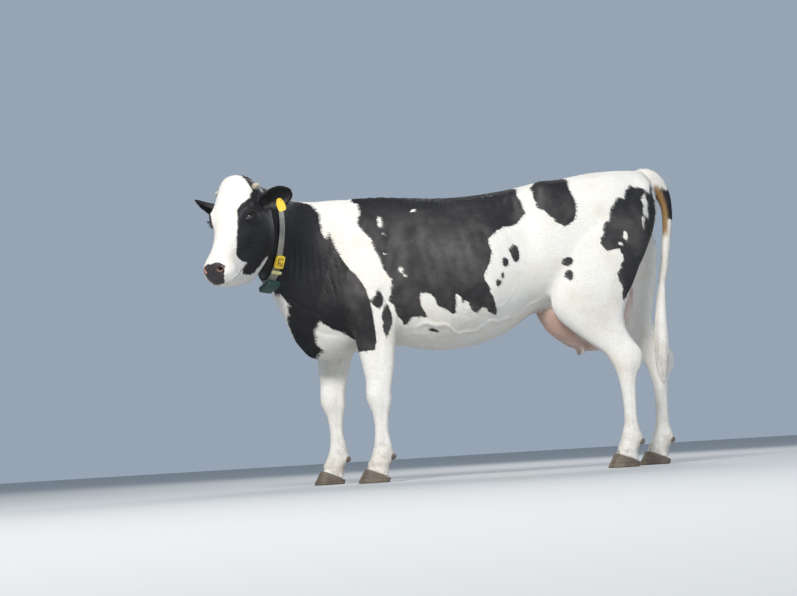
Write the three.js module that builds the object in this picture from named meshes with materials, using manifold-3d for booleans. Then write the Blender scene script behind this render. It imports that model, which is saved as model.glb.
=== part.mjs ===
// A life-size standing dairy cow, built as closed solids in millimetres.
// +Z is up, the cow faces -X, and its left side is -Y. The origin is on the floor, under the middle of
// the model's box. The flesh is made from lofts of superellipse slices whose outlines are smooth curves
// through named levels. Solids that meet keep a small gap.
import * as THREE from "three";
import { mergeVertices } from "three/addons/utils/BufferGeometryUtils.js";
import Module from "manifold-3d";

const wasm = await Module();
wasm.setup();

// ---------------------------------------------------------------- driving sizes
const GAP = 0.4; // clearance between touching solids
const FAR = 4000; // size of the blocks that cut along a plane
const LEFT = -1; // sign of Y on the cow's left
const RIGHT = 1;

const NECK_BEND = { start: -490, length: 400, angle: 0.9, low: 620, high: 880 };
const HEAD = { at: [-1011, -425, 1452], heading: 54, pitch: 52, roll: 3 };
const EYE = { at: [197, 102, -58], radius: 21 };
const HORN = { at: [38, 96, -16], length: 36, radius: 16, rise: 22 };
const EAR = { width: 55, wall: 7 };
const TAG = { at: 92, drop: 15, width: 38, length: 68, thick: 3, lean: 44, lift: 20, button: 9 };
const COLLAR = { crest: -928, side: -985, throat: -972, width: 38, slack: 2, thick: 6, reach: 620 };
// The pieces on the strap: how many degrees below the cow's left side each sits, its size and its look.
const COLLAR_PADS = {
  collar_number_block: { below: 58, size: [64, 48, 18], look: "yellow" },
  collar_buckle: { below: 71.5, size: [16, 54, 14], look: "cream" },
  collar_transponder: { below: 89.3, size: [98, 78, 24], look: "green" },
};
const HOOF = { height: 82, slope: 24, clawHalfWidth: 27, clawGap: 3, toe: 42, heel: 4 };
const DEWCLAW = { height: 122, apart: 21, reach: [17, 13, 20], lean: 24 };

const COLOURS = {
  white: { color: 0xece8e0, roughness: 0.75 },
  black: { color: 0x1d1c1e, roughness: 0.6 },
  eye: { color: 0x17100c, roughness: 0.1 },
  horn: { color: 0xb9ad98, roughness: 0.5 },
  hoof: { color: 0x3b3630, roughness: 0.55 },
  udder: { color: 0xe3bfae, roughness: 0.65 },
  strap: { color: 0x9a9c92, roughness: 0.8 },
  yellow: { color: 0xe3c21d, roughness: 0.45 },
  cream: { color: 0xe6dca0, roughness: 0.5 },
  green: { color: 0x123f36, roughness: 0.5 },
};

// ---------------------------------------------------------------- small tools
const radians = THREE.MathUtils.degToRad;
const lerp = THREE.MathUtils.lerp;
const smooth = THREE.MathUtils.smoothstep;

// A smooth function through [t, value] knots, flat beyond its ends.
function curve(...knots) {
  const sorted = [...knots].sort((a, b) => a[0] - b[0]);
  const t = sorted.map((k) => k[0]);
  const v = sorted.map((k) => k[1]);
  const slope = t.map((_, i) => {
    const a = Math.max(i - 1, 0);
    const b = Math.min(i + 1, t.length - 1);
    return (v[b] - v[a]) / (t[b] - t[a]);
  });
  return (at) => {
    if (at <= t[0]) return v[0];
    if (at >= t[t.length - 1]) return v[v.length - 1];
    let i = 0;
    while (at > t[i + 1]) i++;
    const span = t[i + 1] - t[i];
    const u = (at - t[i]) / span;
    const blend = u * u * (3 - 2 * u);
    const pull = u * (1 - u);
    const start = slope[i] * span * (1 - u);
    const end = slope[i + 1] * span * u;
    return lerp(v[i], v[i + 1], blend) + pull * (start - end);
  };
}

// Evenly spaced values from a to b, both included.
function steps(a, b, count) {
  return Array.from({ length: count }, (_, i) => lerp(a, b, i / (count - 1)));
}

// Evenly spaced angles around one turn.
function turns(count) {
  return steps(0, 2 * Math.PI, count + 1).slice(0, count);
}

// A point of a superellipse: angle 0 is along the first axis.
function superellipse(angle, wide, high, low, powerHigh, powerLow) {
  const c = Math.cos(angle);
  const s = Math.sin(angle);
  const power = s >= 0 ? powerHigh : powerLow;
  const reach = s >= 0 ? high : low;
  return [
    wide * Math.sign(c) * Math.abs(c) ** (2 / power),
    reach * Math.sign(s) * Math.abs(s) ** (2 / power),
  ];
}

// A closed geometry through rings of equal length, with a point at each end.
function loft(rings) {
  const count = rings[0].length;
  const corners = rings.flat();
  const middle = (ring) => {
    const sum = new THREE.Vector3();
    for (const p of ring) sum.add(p);
    return sum.divideScalar(count);
  };
  const first = corners.length;
  corners.push(middle(rings[0]), middle(rings[rings.length - 1]));
  const faces = [];
  for (let i = 0; i < rings.length - 1; i++)
    for (let j = 0; j < count; j++) {
      const a = i * count + j;
      const b = i * count + ((j + 1) % count);
      faces.push(a, b, b + count, a, b + count, a + count);
    }
  const last = (rings.length - 1) * count;
  for (let j = 0; j < count; j++) {
    const next = (j + 1) % count;
    faces.push(first, next, j, first + 1, last + j, last + next);
  }
  return outward(new THREE.BufferGeometry().setFromPoints(corners).setIndex(faces));
}

function volume(geometry) {
  const p = geometry.attributes.position;
  const at = (i) => new THREE.Vector3().fromBufferAttribute(p, geometry.index.getX(i));
  let sum = 0;
  for (let i = 0; i < geometry.index.count; i += 3) sum += at(i).dot(at(i + 1).cross(at(i + 2)));
  return sum / 6;
}

function outward(geometry) {
  if (volume(geometry) < 0) {
    const index = geometry.index.array;
    for (let i = 0; i < index.length; i += 3) [index[i + 1], index[i + 2]] = [index[i + 2], index[i + 1]];
  }
  return geometry;
}

// Moves each corner outwards along its normal, by a function of its place.
function pushOut(geometry, rise) {
  geometry.computeVertexNormals();
  const p = geometry.attributes.position;
  const n = geometry.attributes.normal;
  const corner = new THREE.Vector3();
  const normal = new THREE.Vector3();
  for (let i = 0; i < p.count; i++) {
    corner.fromBufferAttribute(p, i);
    normal.fromBufferAttribute(n, i);
    corner.addScaledVector(normal, rise(corner));
    p.setXYZ(i, ...corner);
  }
  geometry.deleteAttribute("normal");
  return geometry;
}

function inflate(geometry, distance) {
  return pushOut(geometry.clone(), () => distance);
}

// The corners of a turned or round shape joined into one closed surface.
function closed(geometry) {
  geometry.deleteAttribute("uv");
  geometry.deleteAttribute("normal");
  return outward(mergeVertices(geometry, 1e-3));
}

function solid(geometry) {
  const merged = closed(geometry.clone());
  const vertProperties = new Float32Array(merged.attributes.position.array);
  const triVerts = new Uint32Array(merged.index.array);
  return new wasm.Manifold(new wasm.Mesh({ numProp: 3, vertProperties, triVerts }));
}

// The largest body of a cut solid.
function biggest(made) {
  return made.decompose().sort((a, b) => b.volume() - a.volume())[0];
}

function geometryOf(made) {
  const mesh = made.getMesh();
  const n = mesh.numProp;
  const points = [];
  for (let i = 0; i < mesh.numVert; i++) {
    points.push(new THREE.Vector3().fromArray(mesh.vertProperties, i * n));
  }
  return new THREE.BufferGeometry().setFromPoints(points).setIndex([...mesh.triVerts]);
}

// A block whose top face is the plane through a point, with the given normal.
function below(point, normal) {
  const box = new THREE.BoxGeometry(FAR, FAR, FAR).translate(0, 0, -FAR / 2);
  const up = new THREE.Vector3(0, 0, 1);
  const facing = new THREE.Vector3(...normal).normalize();
  box.applyQuaternion(new THREE.Quaternion().setFromUnitVectors(up, facing));
  return solid(box.translate(...point));
}

// Soft bumps and hollows: each raises a loft's corners near a place, on both sides.
function relief(geometry, bumps) {
  return pushOut(geometry, (corner) => {
    const place = [corner.x, Math.abs(corner.y), corner.z];
    let rise = 0;
    for (const { at, reach, by } of bumps) {
      const d = place.map((v, k) => (v - at[k]) / reach[k]);
      rise += by * Math.exp(-(d[0] ** 2 + d[1] ** 2 + d[2] ** 2));
    }
    return rise;
  });
}

// Moves every corner of a geometry by a function of its place.
function remap(geometry, move) {
  const p = geometry.attributes.position;
  for (let i = 0; i < p.count; i++) {
    p.setXYZ(i, ...move(p.getX(i), p.getY(i), p.getZ(i)));
  }
  return outward(geometry);
}

// ---------------------------------------------------------------- trunk and neck
const TOPLINE = curve(
  [1112, 1336], [1104, 1376], [1090, 1420], [1070, 1462], [1040, 1488], [990, 1504], [895, 1500],
  [790, 1494], [675, 1477], [586, 1461], [470, 1447], [361, 1430], [206, 1412], [51, 1403], [-100, 1408],
  [-202, 1417], [-300, 1425], [-374, 1428], [-455, 1427], [-556, 1422], [-650, 1416], [-740, 1415],
  [-850, 1424], [-950, 1446], [-1040, 1462], [-1140, 1440],
);
const UNDERLINE = curve(
  [1112, 1292], [1104, 1244], [1085, 1184], [1060, 1120], [1030, 1060], [980, 970], [920, 890], [820, 815],
  [650, 800], [520, 806], [440, 800], [360, 742], [260, 690], [150, 654], [50, 638], [-50, 634],
  [-150, 646], [-240, 664], [-350, 668], [-450, 652], [-550, 622], [-630, 608], [-705, 625], [-762, 680],
  [-805, 750], [-842, 830], [-880, 893], [-920, 936], [-965, 982], [-1010, 1034], [-1060, 1095],
  [-1140, 1200],
);
const HALF_WIDTH = curve(
  [1112, 34], [1100, 74], [1070, 106], [1035, 136], [985, 170], [920, 208], [850, 234], [750, 252],
  [640, 262], [550, 268], [480, 270], [400, 262], [300, 290], [200, 330], [100, 345], [0, 335], [-100, 304],
  [-200, 262], [-280, 240], [-360, 234], [-450, 232], [-530, 214], [-600, 184], [-680, 152], [-760, 128],
  [-850, 114], [-950, 106], [-1050, 98], [-1140, 78],
);
const WIDEST_LEVEL = curve(
  [1112, 1314], [1070, 1335], [1030, 1345], [920, 1260], [750, 1190], [500, 1150], [350, 1060], [200, 1000],
  [50, 975], [-100, 985], [-250, 1005], [-400, 1020], [-500, 1035], [-600, 1070], [-700, 1120],
  [-800, 1170], [-900, 1210], [-1000, 1250], [-1140, 1320],
);
const BACK_POWER = curve(
  [1112, 2], [1035, 2.5], [900, 2.8], [750, 3.1], [600, 3.6], [480, 4.6], [400, 3.3], [300, 2.6], [100, 2.1],
  [-150, 1.9], [-360, 1.6], [-550, 1.65], [-750, 1.75], [-1100, 2],
);
const BELLY_POWER = curve(
  [1112, 2], [700, 2.1], [300, 2.2], [0, 2.15], [-250, 1.95], [-500, 1.9], [-700, 1.8], [-1100, 2],
);

const TRUNK_RELIEF = [
  { name: "hook bone", at: [482, 250, 1425], reach: [52, 60, 50], by: 20 },
  { name: "loin shelf", at: [300, 175, 1400], reach: [130, 50, 40], by: 10 },
  { name: "pin bone", at: [1030, 135, 1385], reach: [48, 50, 52], by: 26 },
  { name: "thurl", at: [765, 245, 1255], reach: [90, 80, 80], by: 12 },
  { name: "rump hollow", at: [650, 235, 1375], reach: [95, 70, 55], by: -14 },
  { name: "hollow beside the tail head", at: [985, 75, 1478], reach: [50, 30, 40], by: -14 },
  { name: "flank hollow", at: [352, 275, 1290], reach: [75, 90, 85], by: -34 },
  { name: "belly", at: [120, 330, 900], reach: [220, 120, 160], by: 10 },
  { name: "shoulder blade", at: [-385, 165, 1270], reach: [85, 90, 130], by: 12 },
  { name: "hollow behind the shoulder", at: [-235, 235, 1120], reach: [48, 90, 170], by: -13 },
  { name: "upper arm", at: [-400, 230, 900], reach: [120, 80, 120], by: 20 },
  { name: "point of the shoulder", at: [-610, 170, 880], reach: [80, 80, 95], by: 46 },
  { name: "hollow before the shoulder", at: [-590, 160, 1180], reach: [50, 90, 120], by: -14 },
  { name: "neck root muscle", at: [-690, 120, 1180], reach: [110, 70, 80], by: 9 },
  { name: "throat groove", at: [-830, 95, 1090], reach: [120, 60, 45], by: -9 },
];

// The neck turns to the cow's left, while the brisket stays under the chest.
function bendNeck(x, y, z) {
  const along = Math.max(NECK_BEND.start - x, 0);
  const radius = NECK_BEND.length / NECK_BEND.angle;
  const turn = Math.min(along, NECK_BEND.length) / radius;
  const straight = Math.max(along - NECK_BEND.length, 0);
  const base = along > 0 ? NECK_BEND.start : x;
  const bentX = base - radius * Math.sin(turn) - straight * Math.cos(turn) - y * Math.sin(turn);
  const bentY = -radius * (1 - Math.cos(turn)) - straight * Math.sin(turn) + y * Math.cos(turn);
  const share = smooth(z, NECK_BEND.low, NECK_BEND.high);
  return [lerp(x, bentX, share), lerp(y, bentY, share), z];
}

function bodySlice(x, count) {
  const level = WIDEST_LEVEL(x);
  const high = TOPLINE(x) - level;
  const low = level - UNDERLINE(x);
  return turns(count).map((angle) => {
    const [y, z] = superellipse(angle, HALF_WIDTH(x), high, low, BACK_POWER(x), BELLY_POWER(x));
    return new THREE.Vector3(x, y, level + z);
  });
}

function bodyGeometry() {
  const places = [...steps(1112, 1000, 5), ...steps(960, -1140, 31)];
  const straight = loft(places.map((x) => bodySlice(x, 24)));
  return remap(relief(straight, TRUNK_RELIEF), bendNeck);
}

// ---------------------------------------------------------------- head
const FOREHEAD_LINE = curve(
  [-51, -104], [-38, -38], [-18, 24], [10, 58], [45, 62], [92, 42], [158, 12], [205, -4], [279, -20],
  [353, -33], [409, -40], [456, -46], [488, -60], [510, -86], [523, -118],
);
const JAW_LINE = curve(
  [-51, -130], [-28, -174], [0, -212], [46, -270], [92, -308], [140, -328], [190, -334], [242, -338],
  [298, -334], [349, -318], [395, -288], [437, -250], [474, -212], [502, -178], [523, -138],
);
const HEAD_HALF_WIDTH = curve(
  [-51, 20], [-28, 66], [0, 92], [37, 103], [84, 108], [140, 117], [186, 117], [228, 101], [279, 76],
  [344, 63], [400, 63], [446, 76], [479, 77], [507, 58], [523, 18],
);
const HEAD_LEVEL = curve(
  [-51, -116], [0, -85], [84, -76], [186, -82], [279, -98], [372, -112], [446, -116], [523, -126],
);
const FACE_POWER = curve([-51, 2], [56, 2.6], [167, 3], [279, 2.5], [391, 2.3], [465, 2.6], [523, 2]);
const JAW_POWER = curve([-51, 2], [75, 2.2], [190, 2.2], [300, 1.9], [400, 2.1], [465, 2.4], [523, 2]);

const HEAD_RELIEF = [
  { name: "brow", at: [180, 116, -36], reach: [36, 32, 26], by: 21 },
  { name: "hollow above the eye", at: [116, 108, -52], reach: [32, 30, 22], by: -7 },
  { name: "below the eye", at: [226, 95, -76], reach: [30, 30, 26], by: -5 },
  { name: "cheek muscle", at: [140, 92, -205], reach: [70, 50, 70], by: 11 },
  { name: "cheek bone ridge", at: [280, 80, -100], reach: [80, 40, 20], by: 6 },
  { name: "hollow before the cheek", at: [292, 60, -190], reach: [60, 50, 34], by: -9 },
  { name: "nostril hollow", at: [474, 50, -76], reach: [20, 20, 16], by: -9 },
  { name: "upper lip", at: [448, 74, -128], reach: [40, 30, 28], by: 6 },
  { name: "chin", at: [466, 0, -200], reach: [28, 45, 24], by: 6 },
  { name: "hollow of the chin", at: [405, 0, -225], reach: [28, 60, 26], by: -5 },
];

function headSlice(x, count) {
  const level = HEAD_LEVEL(x);
  const high = FOREHEAD_LINE(x) - level;
  const low = level - JAW_LINE(x);
  return turns(count).map((angle) => {
    const [y, z] = superellipse(angle, HEAD_HALF_WIDTH(x), high, low, FACE_POWER(x), JAW_POWER(x));
    return new THREE.Vector3(x, y, level + z);
  });
}

// The head's own frame: x runs down the face, y to the cow's left, z out of the forehead.
function headFrame() {
  const heading = radians(HEAD.heading);
  const pitch = radians(HEAD.pitch);
  const forward = new THREE.Vector3(-Math.cos(heading), -Math.sin(heading), 0);
  const up = new THREE.Vector3(0, 0, 1);
  const face = forward.clone().multiplyScalar(Math.cos(pitch)).addScaledVector(up, -Math.sin(pitch));
  const left = new THREE.Vector3().crossVectors(up, forward).applyAxisAngle(face, radians(HEAD.roll));
  const out = new THREE.Vector3().crossVectors(face, left);
  return new THREE.Matrix4().makeBasis(face, left, out).setPosition(...HEAD.at);
}
const HEAD_FRAME = headFrame();

// Where each ear grows, and the way it and its opening point, in the head's frame.
const EAR_SET = {
  [LEFT]: { at: [68, 88, -94], length: 170, along: [-0.5, 0.75, -0.24], opening: [0.75, 0.3, 0.45] },
  [RIGHT]: { at: [50, 90, -88], length: 200, along: [-0.08, 0.95, 0.32], opening: [0.95, 0, -0.25] },
};

function headGeometry() {
  const places = [-51, -43, -28, ...steps(-8, 494, 17), 510, 523];
  return relief(loft(places.map((x) => headSlice(x, 20))), HEAD_RELIEF).applyMatrix4(HEAD_FRAME);
}

function eyeGeometry(side, grow = 0) {
  const [x, y, z] = EYE.at;
  const ball = new THREE.SphereGeometry(EYE.radius + grow, 10, 7);
  return ball.translate(x, -side * y, z).applyMatrix4(HEAD_FRAME);
}

function hornGeometry(side) {
  const { length, radius } = HORN;
  const sunk = -22;
  const profile = [
    [0, sunk], [radius, sunk], [radius, 0], [radius * 0.88, length * 0.5], [radius * 0.6, length * 0.86],
    [0, length],
  ];
  const bud = closed(new THREE.LatheGeometry(profile.map((p) => new THREE.Vector2(...p)), 12));
  if (side === RIGHT) bud.rotateX(Math.PI);
  bud.rotateX(side * radians(-HORN.rise));
  return bud.translate(HORN.at[0], -side * HORN.at[1], HORN.at[2]).applyMatrix4(HEAD_FRAME);
}

// An ear is a leaf rolled into a cup. Along it, u runs from root to tip; each ring goes over the back and
// returns inside the cup.
function earGeometry(side) {
  const width = curve([0, 26], [0.15, 38], [0.42, EAR.width], [0.68, 49], [0.87, 30], [1, 6]);
  const roll = curve([0, 2.6], [0.25, 1.7], [0.55, 1.05], [1, 0.5]); // half the angle of the roll
  const droop = curve([0, 0], [0.5, 6], [1, -8]);
  const { length } = EAR_SET[side];
  const rings = steps(0, 1, 8).map((u) => {
    const half = roll(u);
    const radius = width(u) / Math.sin(Math.min(half, Math.PI / 2));
    const arc = (offset, angles) => angles.map((a) => {
      const rise = (1 - Math.cos(a)) * (radius - offset) + offset + droop(u);
      return new THREE.Vector3(u * length, Math.sin(a) * (radius - offset), rise);
    });
    const wall = Math.min(EAR.wall, width(u) * 0.6);
    return [...arc(0, steps(-half, half, 6)), ...arc(wall, steps(half, -half, 6))];
  });
  return outward(loft(rings).applyMatrix4(earFrame(side)));
}

// The frame of an ear: x along it and z out of its opening, each given in the head's frame.
function earFrame(side) {
  const { at, along, opening } = EAR_SET[side];
  const x = new THREE.Vector3(along[0], -side * along[1], along[2]).normalize();
  const z = new THREE.Vector3(opening[0], -side * opening[1], opening[2]);
  const y = new THREE.Vector3().crossVectors(z, x).normalize();
  z.crossVectors(x, y);
  const root = new THREE.Matrix4().makeBasis(x, y, z);
  root.setPosition(at[0], -side * at[1], at[2]);
  return root.premultiply(HEAD_FRAME);
}

// A tag that hangs from a button inside the ear, over its lower rim.
function earTagGeometry(side) {
  const frame = earFrame(side);
  const acrossEar = new THREE.Vector3().setFromMatrixColumn(frame, 1);
  const outline = new THREE.Shape();
  outline.moveTo(-TAG.width * 0.25, -TAG.button);
  outline.lineTo(TAG.width * 0.25, -TAG.button);
  outline.lineTo(TAG.width * 0.5, TAG.length * 0.3);
  outline.lineTo(TAG.width * 0.46, TAG.length - 6);
  outline.quadraticCurveTo(TAG.width * 0.44, TAG.length, TAG.width * 0.3, TAG.length);
  outline.lineTo(-TAG.width * 0.3, TAG.length);
  outline.quadraticCurveTo(-TAG.width * 0.44, TAG.length, -TAG.width * 0.46, TAG.length - 6);
  outline.lineTo(-TAG.width * 0.5, TAG.length * 0.3);
  const flat = { depth: TAG.thick, bevelEnabled: false, curveSegments: 2 };
  const plate = new THREE.ExtrudeGeometry(outline, flat);
  const button = new THREE.CylinderGeometry(TAG.button, TAG.button, 8, 8);
  button.rotateX(radians(90)).translate(0, 0, 2);
  return [plate, button].map((piece) => {
    piece.rotateX(radians(TAG.lean));
    piece.translate(0, TAG.drop, TAG.lift);
    if (acrossEar.z > 0) piece.rotateZ(Math.PI);
    return piece.translate(TAG.at, 0, 0).applyMatrix4(frame);
  });
}

// ---------------------------------------------------------------- legs
// Each leg is a stack of level slices. Outlines are given at heights above the floor.
const FORELEG = {
  top: 1010, bottom: 30, rings: 20, around: 10,
  front: curve(
    [1010, -540], [930, -560], [860, -540], [790, -508], [740, -498], [690, -486], [620, -470], [540, -454],
    [480, -445], [440, -448], [400, -447], [360, -430], [320, -419], [250, -416], [195, -419], [160, -432],
    [125, -440], [90, -458], [30, -478],
  ),
  rear: curve(
    [1010, -360], [930, -300], [860, -278], [800, -262], [750, -266], [690, -280], [620, -288], [540, -298],
    [480, -310], [440, -318], [405, -314], [370, -326], [320, -336], [250, -341], [195, -335], [160, -320],
    [125, -330], [90, -346], [30, -352],
  ),
  middle: curve([1010, 150], [930, 158], [860, 162], [740, 163], [620, 160], [480, 155], [30, 154]),
  half: curve(
    [1010, 70], [930, 80], [860, 78], [790, 68], [740, 60], [690, 53], [620, 47], [540, 42], [480, 42],
    [440, 47], [400, 46], [360, 37], [320, 31], [250, 29], [195, 32], [160, 41], [125, 39], [90, 41],
    [30, 47],
  ),
};
const HINDLEG = {
  top: 1340, bottom: 30, rings: 23, around: 12,
  front: curve(
    [1340, 660], [1250, 600], [1150, 560], [1050, 530], [950, 510], [880, 498], [820, 493], [770, 506],
    [720, 548], [660, 620], [600, 700], [555, 755], [510, 783], [470, 800], [430, 812], [350, 822],
    [260, 824], [200, 819], [160, 806], [125, 796], [90, 780], [30, 758],
  ),
  rear: curve(
    [1340, 900], [1250, 1000], [1150, 1018], [1050, 985], [950, 940], [880, 908], [820, 884], [770, 868],
    [720, 864], [660, 880], [600, 918], [560, 946], [530, 948], [490, 928], [450, 906], [400, 897],
    [350, 894], [260, 893], [200, 897], [160, 912], [125, 902], [90, 886], [30, 884],
  ),
  middle: curve(
    [1340, 140], [1250, 150], [1150, 158], [1000, 168], [880, 174], [760, 172], [640, 166], [500, 162],
    [30, 160],
  ),
  half: curve(
    [1340, 60], [1250, 90], [1150, 106], [1050, 106], [950, 98], [880, 88], [820, 77], [770, 67], [720, 57],
    [660, 47], [600, 40], [555, 42], [510, 45], [470, 42], [430, 37], [350, 32], [260, 31], [200, 34],
    [160, 43], [125, 40],
    [90, 42], [30, 48],
  ),
};
// How far each leg steps from the drawn outline, by height: forward is -X.
const STEPS = {
  foreleg_left: curve([1010, 0], [30, 0]),
  foreleg_right: curve(
    [1010, -20], [860, -92], [790, -130], [690, -172], [540, -204], [430, -206], [200, -200], [30, -200],
  ),
  hindleg_left: curve([1340, 0], [30, 0]),
  hindleg_right: curve(
    [1340, 10], [1250, 75], [1150, 122], [1050, 155], [950, 190], [880, 212], [760, 232], [640, 246],
    [550, 252], [430, 250], [30, 238],
  ),
};

function legGeometry(leg, side, step) {
  const rings = steps(leg.top, leg.bottom, leg.rings).map((z) => {
    const front = leg.front(z) + step(z);
    const rear = leg.rear(z) + step(z);
    return turns(leg.around).map((angle) => {
      const [x, y] = superellipse(angle, (rear - front) / 2, leg.half(z), leg.half(z), 2.1, 2.1);
      return new THREE.Vector3((front + rear) / 2 + x, side * leg.middle(z) + y, z);
    });
  });
  return loft(rings);
}

// The plane of the coronet: it rises towards the toe.
function coronet(leg, step) {
  const x = leg.front(60) + step(60);
  const tilt = radians(HOOF.slope);
  return { point: [x, 0, HOOF.height], normal: [Math.sin(tilt), 0, Math.cos(tilt)] };
}

// One claw: the sole is flat, the toe's wall leans back, and the two claws of a foot face each other.
function clawGeometry(leg, side, step, inner) {
  const heel = leg.rear(60) + step(60) + HOOF.heel;
  const toe = leg.front(60) + step(60) - HOOF.toe;
  const top = HOOF.height + 20;
  const toeLean = curve([0, 0], [top, 58]);
  const heelLean = curve([0, -8], [30, 0], [top, -4]);
  const away = inner ? -side : side;
  const middle = side * leg.middle(0) + away * (HOOF.clawHalfWidth + HOOF.clawGap / 2);
  const rings = [0, 30, top].map((z) => {
    const front = toe + toeLean(z);
    const rear = heel + heelLean(z);
    const reach = (rear - front) / 2;
    const half = HOOF.clawHalfWidth - z * 0.05;
    return turns(12).map((angle) => {
      const [x, y] = superellipse(angle, reach, half, half, 2.3, 2.3);
      const narrowing = x < 0 ? 0.5 * (-x / reach) ** 3 : 0;
      const shift = -away * narrowing * half * 0.45;
      return new THREE.Vector3(front + reach + x, middle + y * (1 - narrowing) + shift, z);
    });
  });
  return loft(rings);
}

function dewclawGeometry(leg, side, step, inner) {
  const { height, apart, reach, lean } = DEWCLAW;
  const away = inner ? -side : side;
  const knob = closed(new THREE.SphereGeometry(1, 6, 4)).scale(...reach).rotateY(radians(lean));
  const rear = leg.rear(height) + step(height);
  return knob.translate(rear, side * leg.middle(height) + away * apart, height);
}

// ---------------------------------------------------------------- tail and udder
const TAIL_PATH = new THREE.CatmullRomCurve3([
  [1010, 0, 1468], [1062, 0, 1468], [1104, -4, 1446], [1138, -7, 1396], [1161, -8, 1318],
  [1162, -8, 1238], [1147, -7, 1120], [1128, -5, 1000], [1104, -3, 880], [1092, -1, 760],
  [1086, 0, 640], [1082, 0, 520], [1080, 0, 400],
].map((p) => new THREE.Vector3(...p)), false, "centripetal");
const TAIL_RADIUS = curve(
  [0, 50], [0.06, 50], [0.13, 44], [0.25, 31], [0.4, 27], [0.58, 24], [0.64, 25], [0.74, 33],
  [0.86, 40], [0.95, 28], [1, 5],
);
const SWITCH_FROM = 0.6; // share of the tail's length where the long hair starts
const SWITCH_GAP = 0.0006;

function tube(path, radius, from, to, rings, around) {
  const side = new THREE.Vector3(0, 1, 0);
  return loft(steps(from, to, rings).map((t) => {
    const centre = path.getPointAt(t);
    const normal = new THREE.Vector3().crossVectors(path.getTangentAt(t), side).normalize();
    return turns(around).map((a) => (
      centre.clone()
        .addScaledVector(side, Math.cos(a) * radius(t))
        .addScaledVector(normal, Math.sin(a) * radius(t))
    ));
  }));
}

const UDDER = {
  levels: [900, 790, 700, 640, 606, 594],
  half: curve([900, 120], [840, 128], [780, 128], [720, 120], [670, 103], [630, 78], [604, 46], [594, 16]),
  front: curve(
    [900, 500], [840, 452], [780, 455], [720, 486], [670, 532], [630, 596], [604, 662], [594, 716],
  ),
  rear: curve(
    [900, 960], [840, 958], [780, 940], [720, 915], [670, 885], [630, 850], [604, 805], [594, 765],
  ),
};
const TEATS = [[668, 58], [812, 52]]; // along and across
const TEAT_TIP = 572; // height above the floor

function udderGeometry() {
  return loft(UDDER.levels.map((z) => {
    const reach = (UDDER.rear(z) - UDDER.front(z)) / 2;
    return turns(14).map((angle) => {
      const [x, y] = superellipse(angle, reach, UDDER.half(z), UDDER.half(z), 2.3, 2.3);
      return new THREE.Vector3(UDDER.front(z) + reach + x, y, z);
    });
  }));
}

function teatGeometry(x, y) {
  const profile = [[0, 0], [9, 3], [13, 36], [19, 70], [0, 70]];
  const teat = closed(new THREE.LatheGeometry(profile.map((p) => new THREE.Vector2(...p)), 6));
  return teat.rotateX(radians(90)).translate(x, y, TEAT_TIP);
}

// ---------------------------------------------------------------- collar and ear tag
// The collar lies in a plane through the neck's crest, its left side and its throat.
function collarPlane() {
  const { crest, side, throat } = COLLAR;
  const at = (x, y, z) => new THREE.Vector3(...bendNeck(x, y, z));
  const top = at(crest, 0, TOPLINE(crest));
  const bottom = at(throat, 0, UNDERLINE(throat));
  const left = at(side, -HALF_WIDTH(side), WIDEST_LEVEL(side));
  const centre = top.clone().lerp(bottom, 0.5);
  const down = bottom.clone().sub(top).normalize();
  const normal = new THREE.Vector3().crossVectors(down, left.sub(centre)).normalize();
  return { centre, down, normal, out: new THREE.Vector3().crossVectors(normal, down) };
}

function strap(body) {
  const { width, slack, thick, reach } = COLLAR;
  const { centre, down, normal, out } = collarPlane();
  const slab = new THREE.BoxGeometry(reach, reach, width);
  const inPlane = new THREE.Matrix4().makeBasis(out, down.clone().negate(), normal);
  slab.applyMatrix4(inPlane.setPosition(centre));
  const band = solid(inflate(body, slack + thick)).subtract(solid(inflate(body, slack)));
  return band.intersect(solid(outward(slab)));
}

// A frame on the strap: x down along it, y across it and z outwards.
function strapFrame(body, below) {
  const { centre, down, normal, out } = collarPlane();
  const turnSign = Math.sign(new THREE.Vector3().crossVectors(out, down).dot(normal));
  const outside = inflate(body, COLLAR.slack + COLLAR.thick + 2 * GAP);
  const surface = new THREE.Mesh(outside, new THREE.MeshBasicMaterial({ side: THREE.DoubleSide }));
  const hit = (degrees) => {
    const way = out.clone().applyAxisAngle(normal, radians(degrees) * turnSign);
    return new THREE.Raycaster(centre, way).intersectObject(surface)[0].point;
  };
  const x = hit(below + 6).sub(hit(below - 6)).normalize();
  const z = new THREE.Vector3().crossVectors(x, normal).normalize();
  if (z.dot(hit(below).sub(centre)) < 0) z.negate();
  const y = new THREE.Vector3().crossVectors(z, x);
  return new THREE.Matrix4().makeBasis(x, y, z).setPosition(hit(below).addScaledVector(z, 1));
}

// A box with rounded edges that stands on the strap.
function pad(body, { below: degrees, size }) {
  const [length, width, height] = size;
  const rings = [[0, 0.94], [0.12, 1], [0.8, 1], [1, 0.86]].map(([level, share]) => {
    const half = (width / 2) * share;
    return turns(12).map((turn) => {
      const [x, y] = superellipse(turn, (length / 2) * share, half, half, 6, 6);
      return new THREE.Vector3(x, y, level * height);
    });
  });
  return outward(loft(rings).applyMatrix4(strapFrame(body, degrees)));
}

// ---------------------------------------------------------------- assembly
const group = new THREE.Group();

function add(name, made, look) {
  const material = new THREE.MeshStandardMaterial({ metalness: 0, ...COLOURS[look] });
  const mesh = new THREE.Mesh(geometryOf(biggest(made)), material);
  mesh.name = name;
  group.add(mesh);
}

const SIDES = [[LEFT, "left"], [RIGHT, "right"]];
const NECK_CUT = { point: [-575, 0, 1100], normal: [-0.95, 0, 0.31] };

function addBody(body, grownHead) {
  const cut = (offset) => {
    const { point, normal } = NECK_CUT;
    return below(point.map((v, i) => v + normal[i] * offset), normal);
  };
  add("trunk", solid(body).intersect(cut(-GAP / 2)), "white");
  add("neck", solid(body).subtract(cut(GAP / 2)).subtract(grownHead), "black");
}

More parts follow.
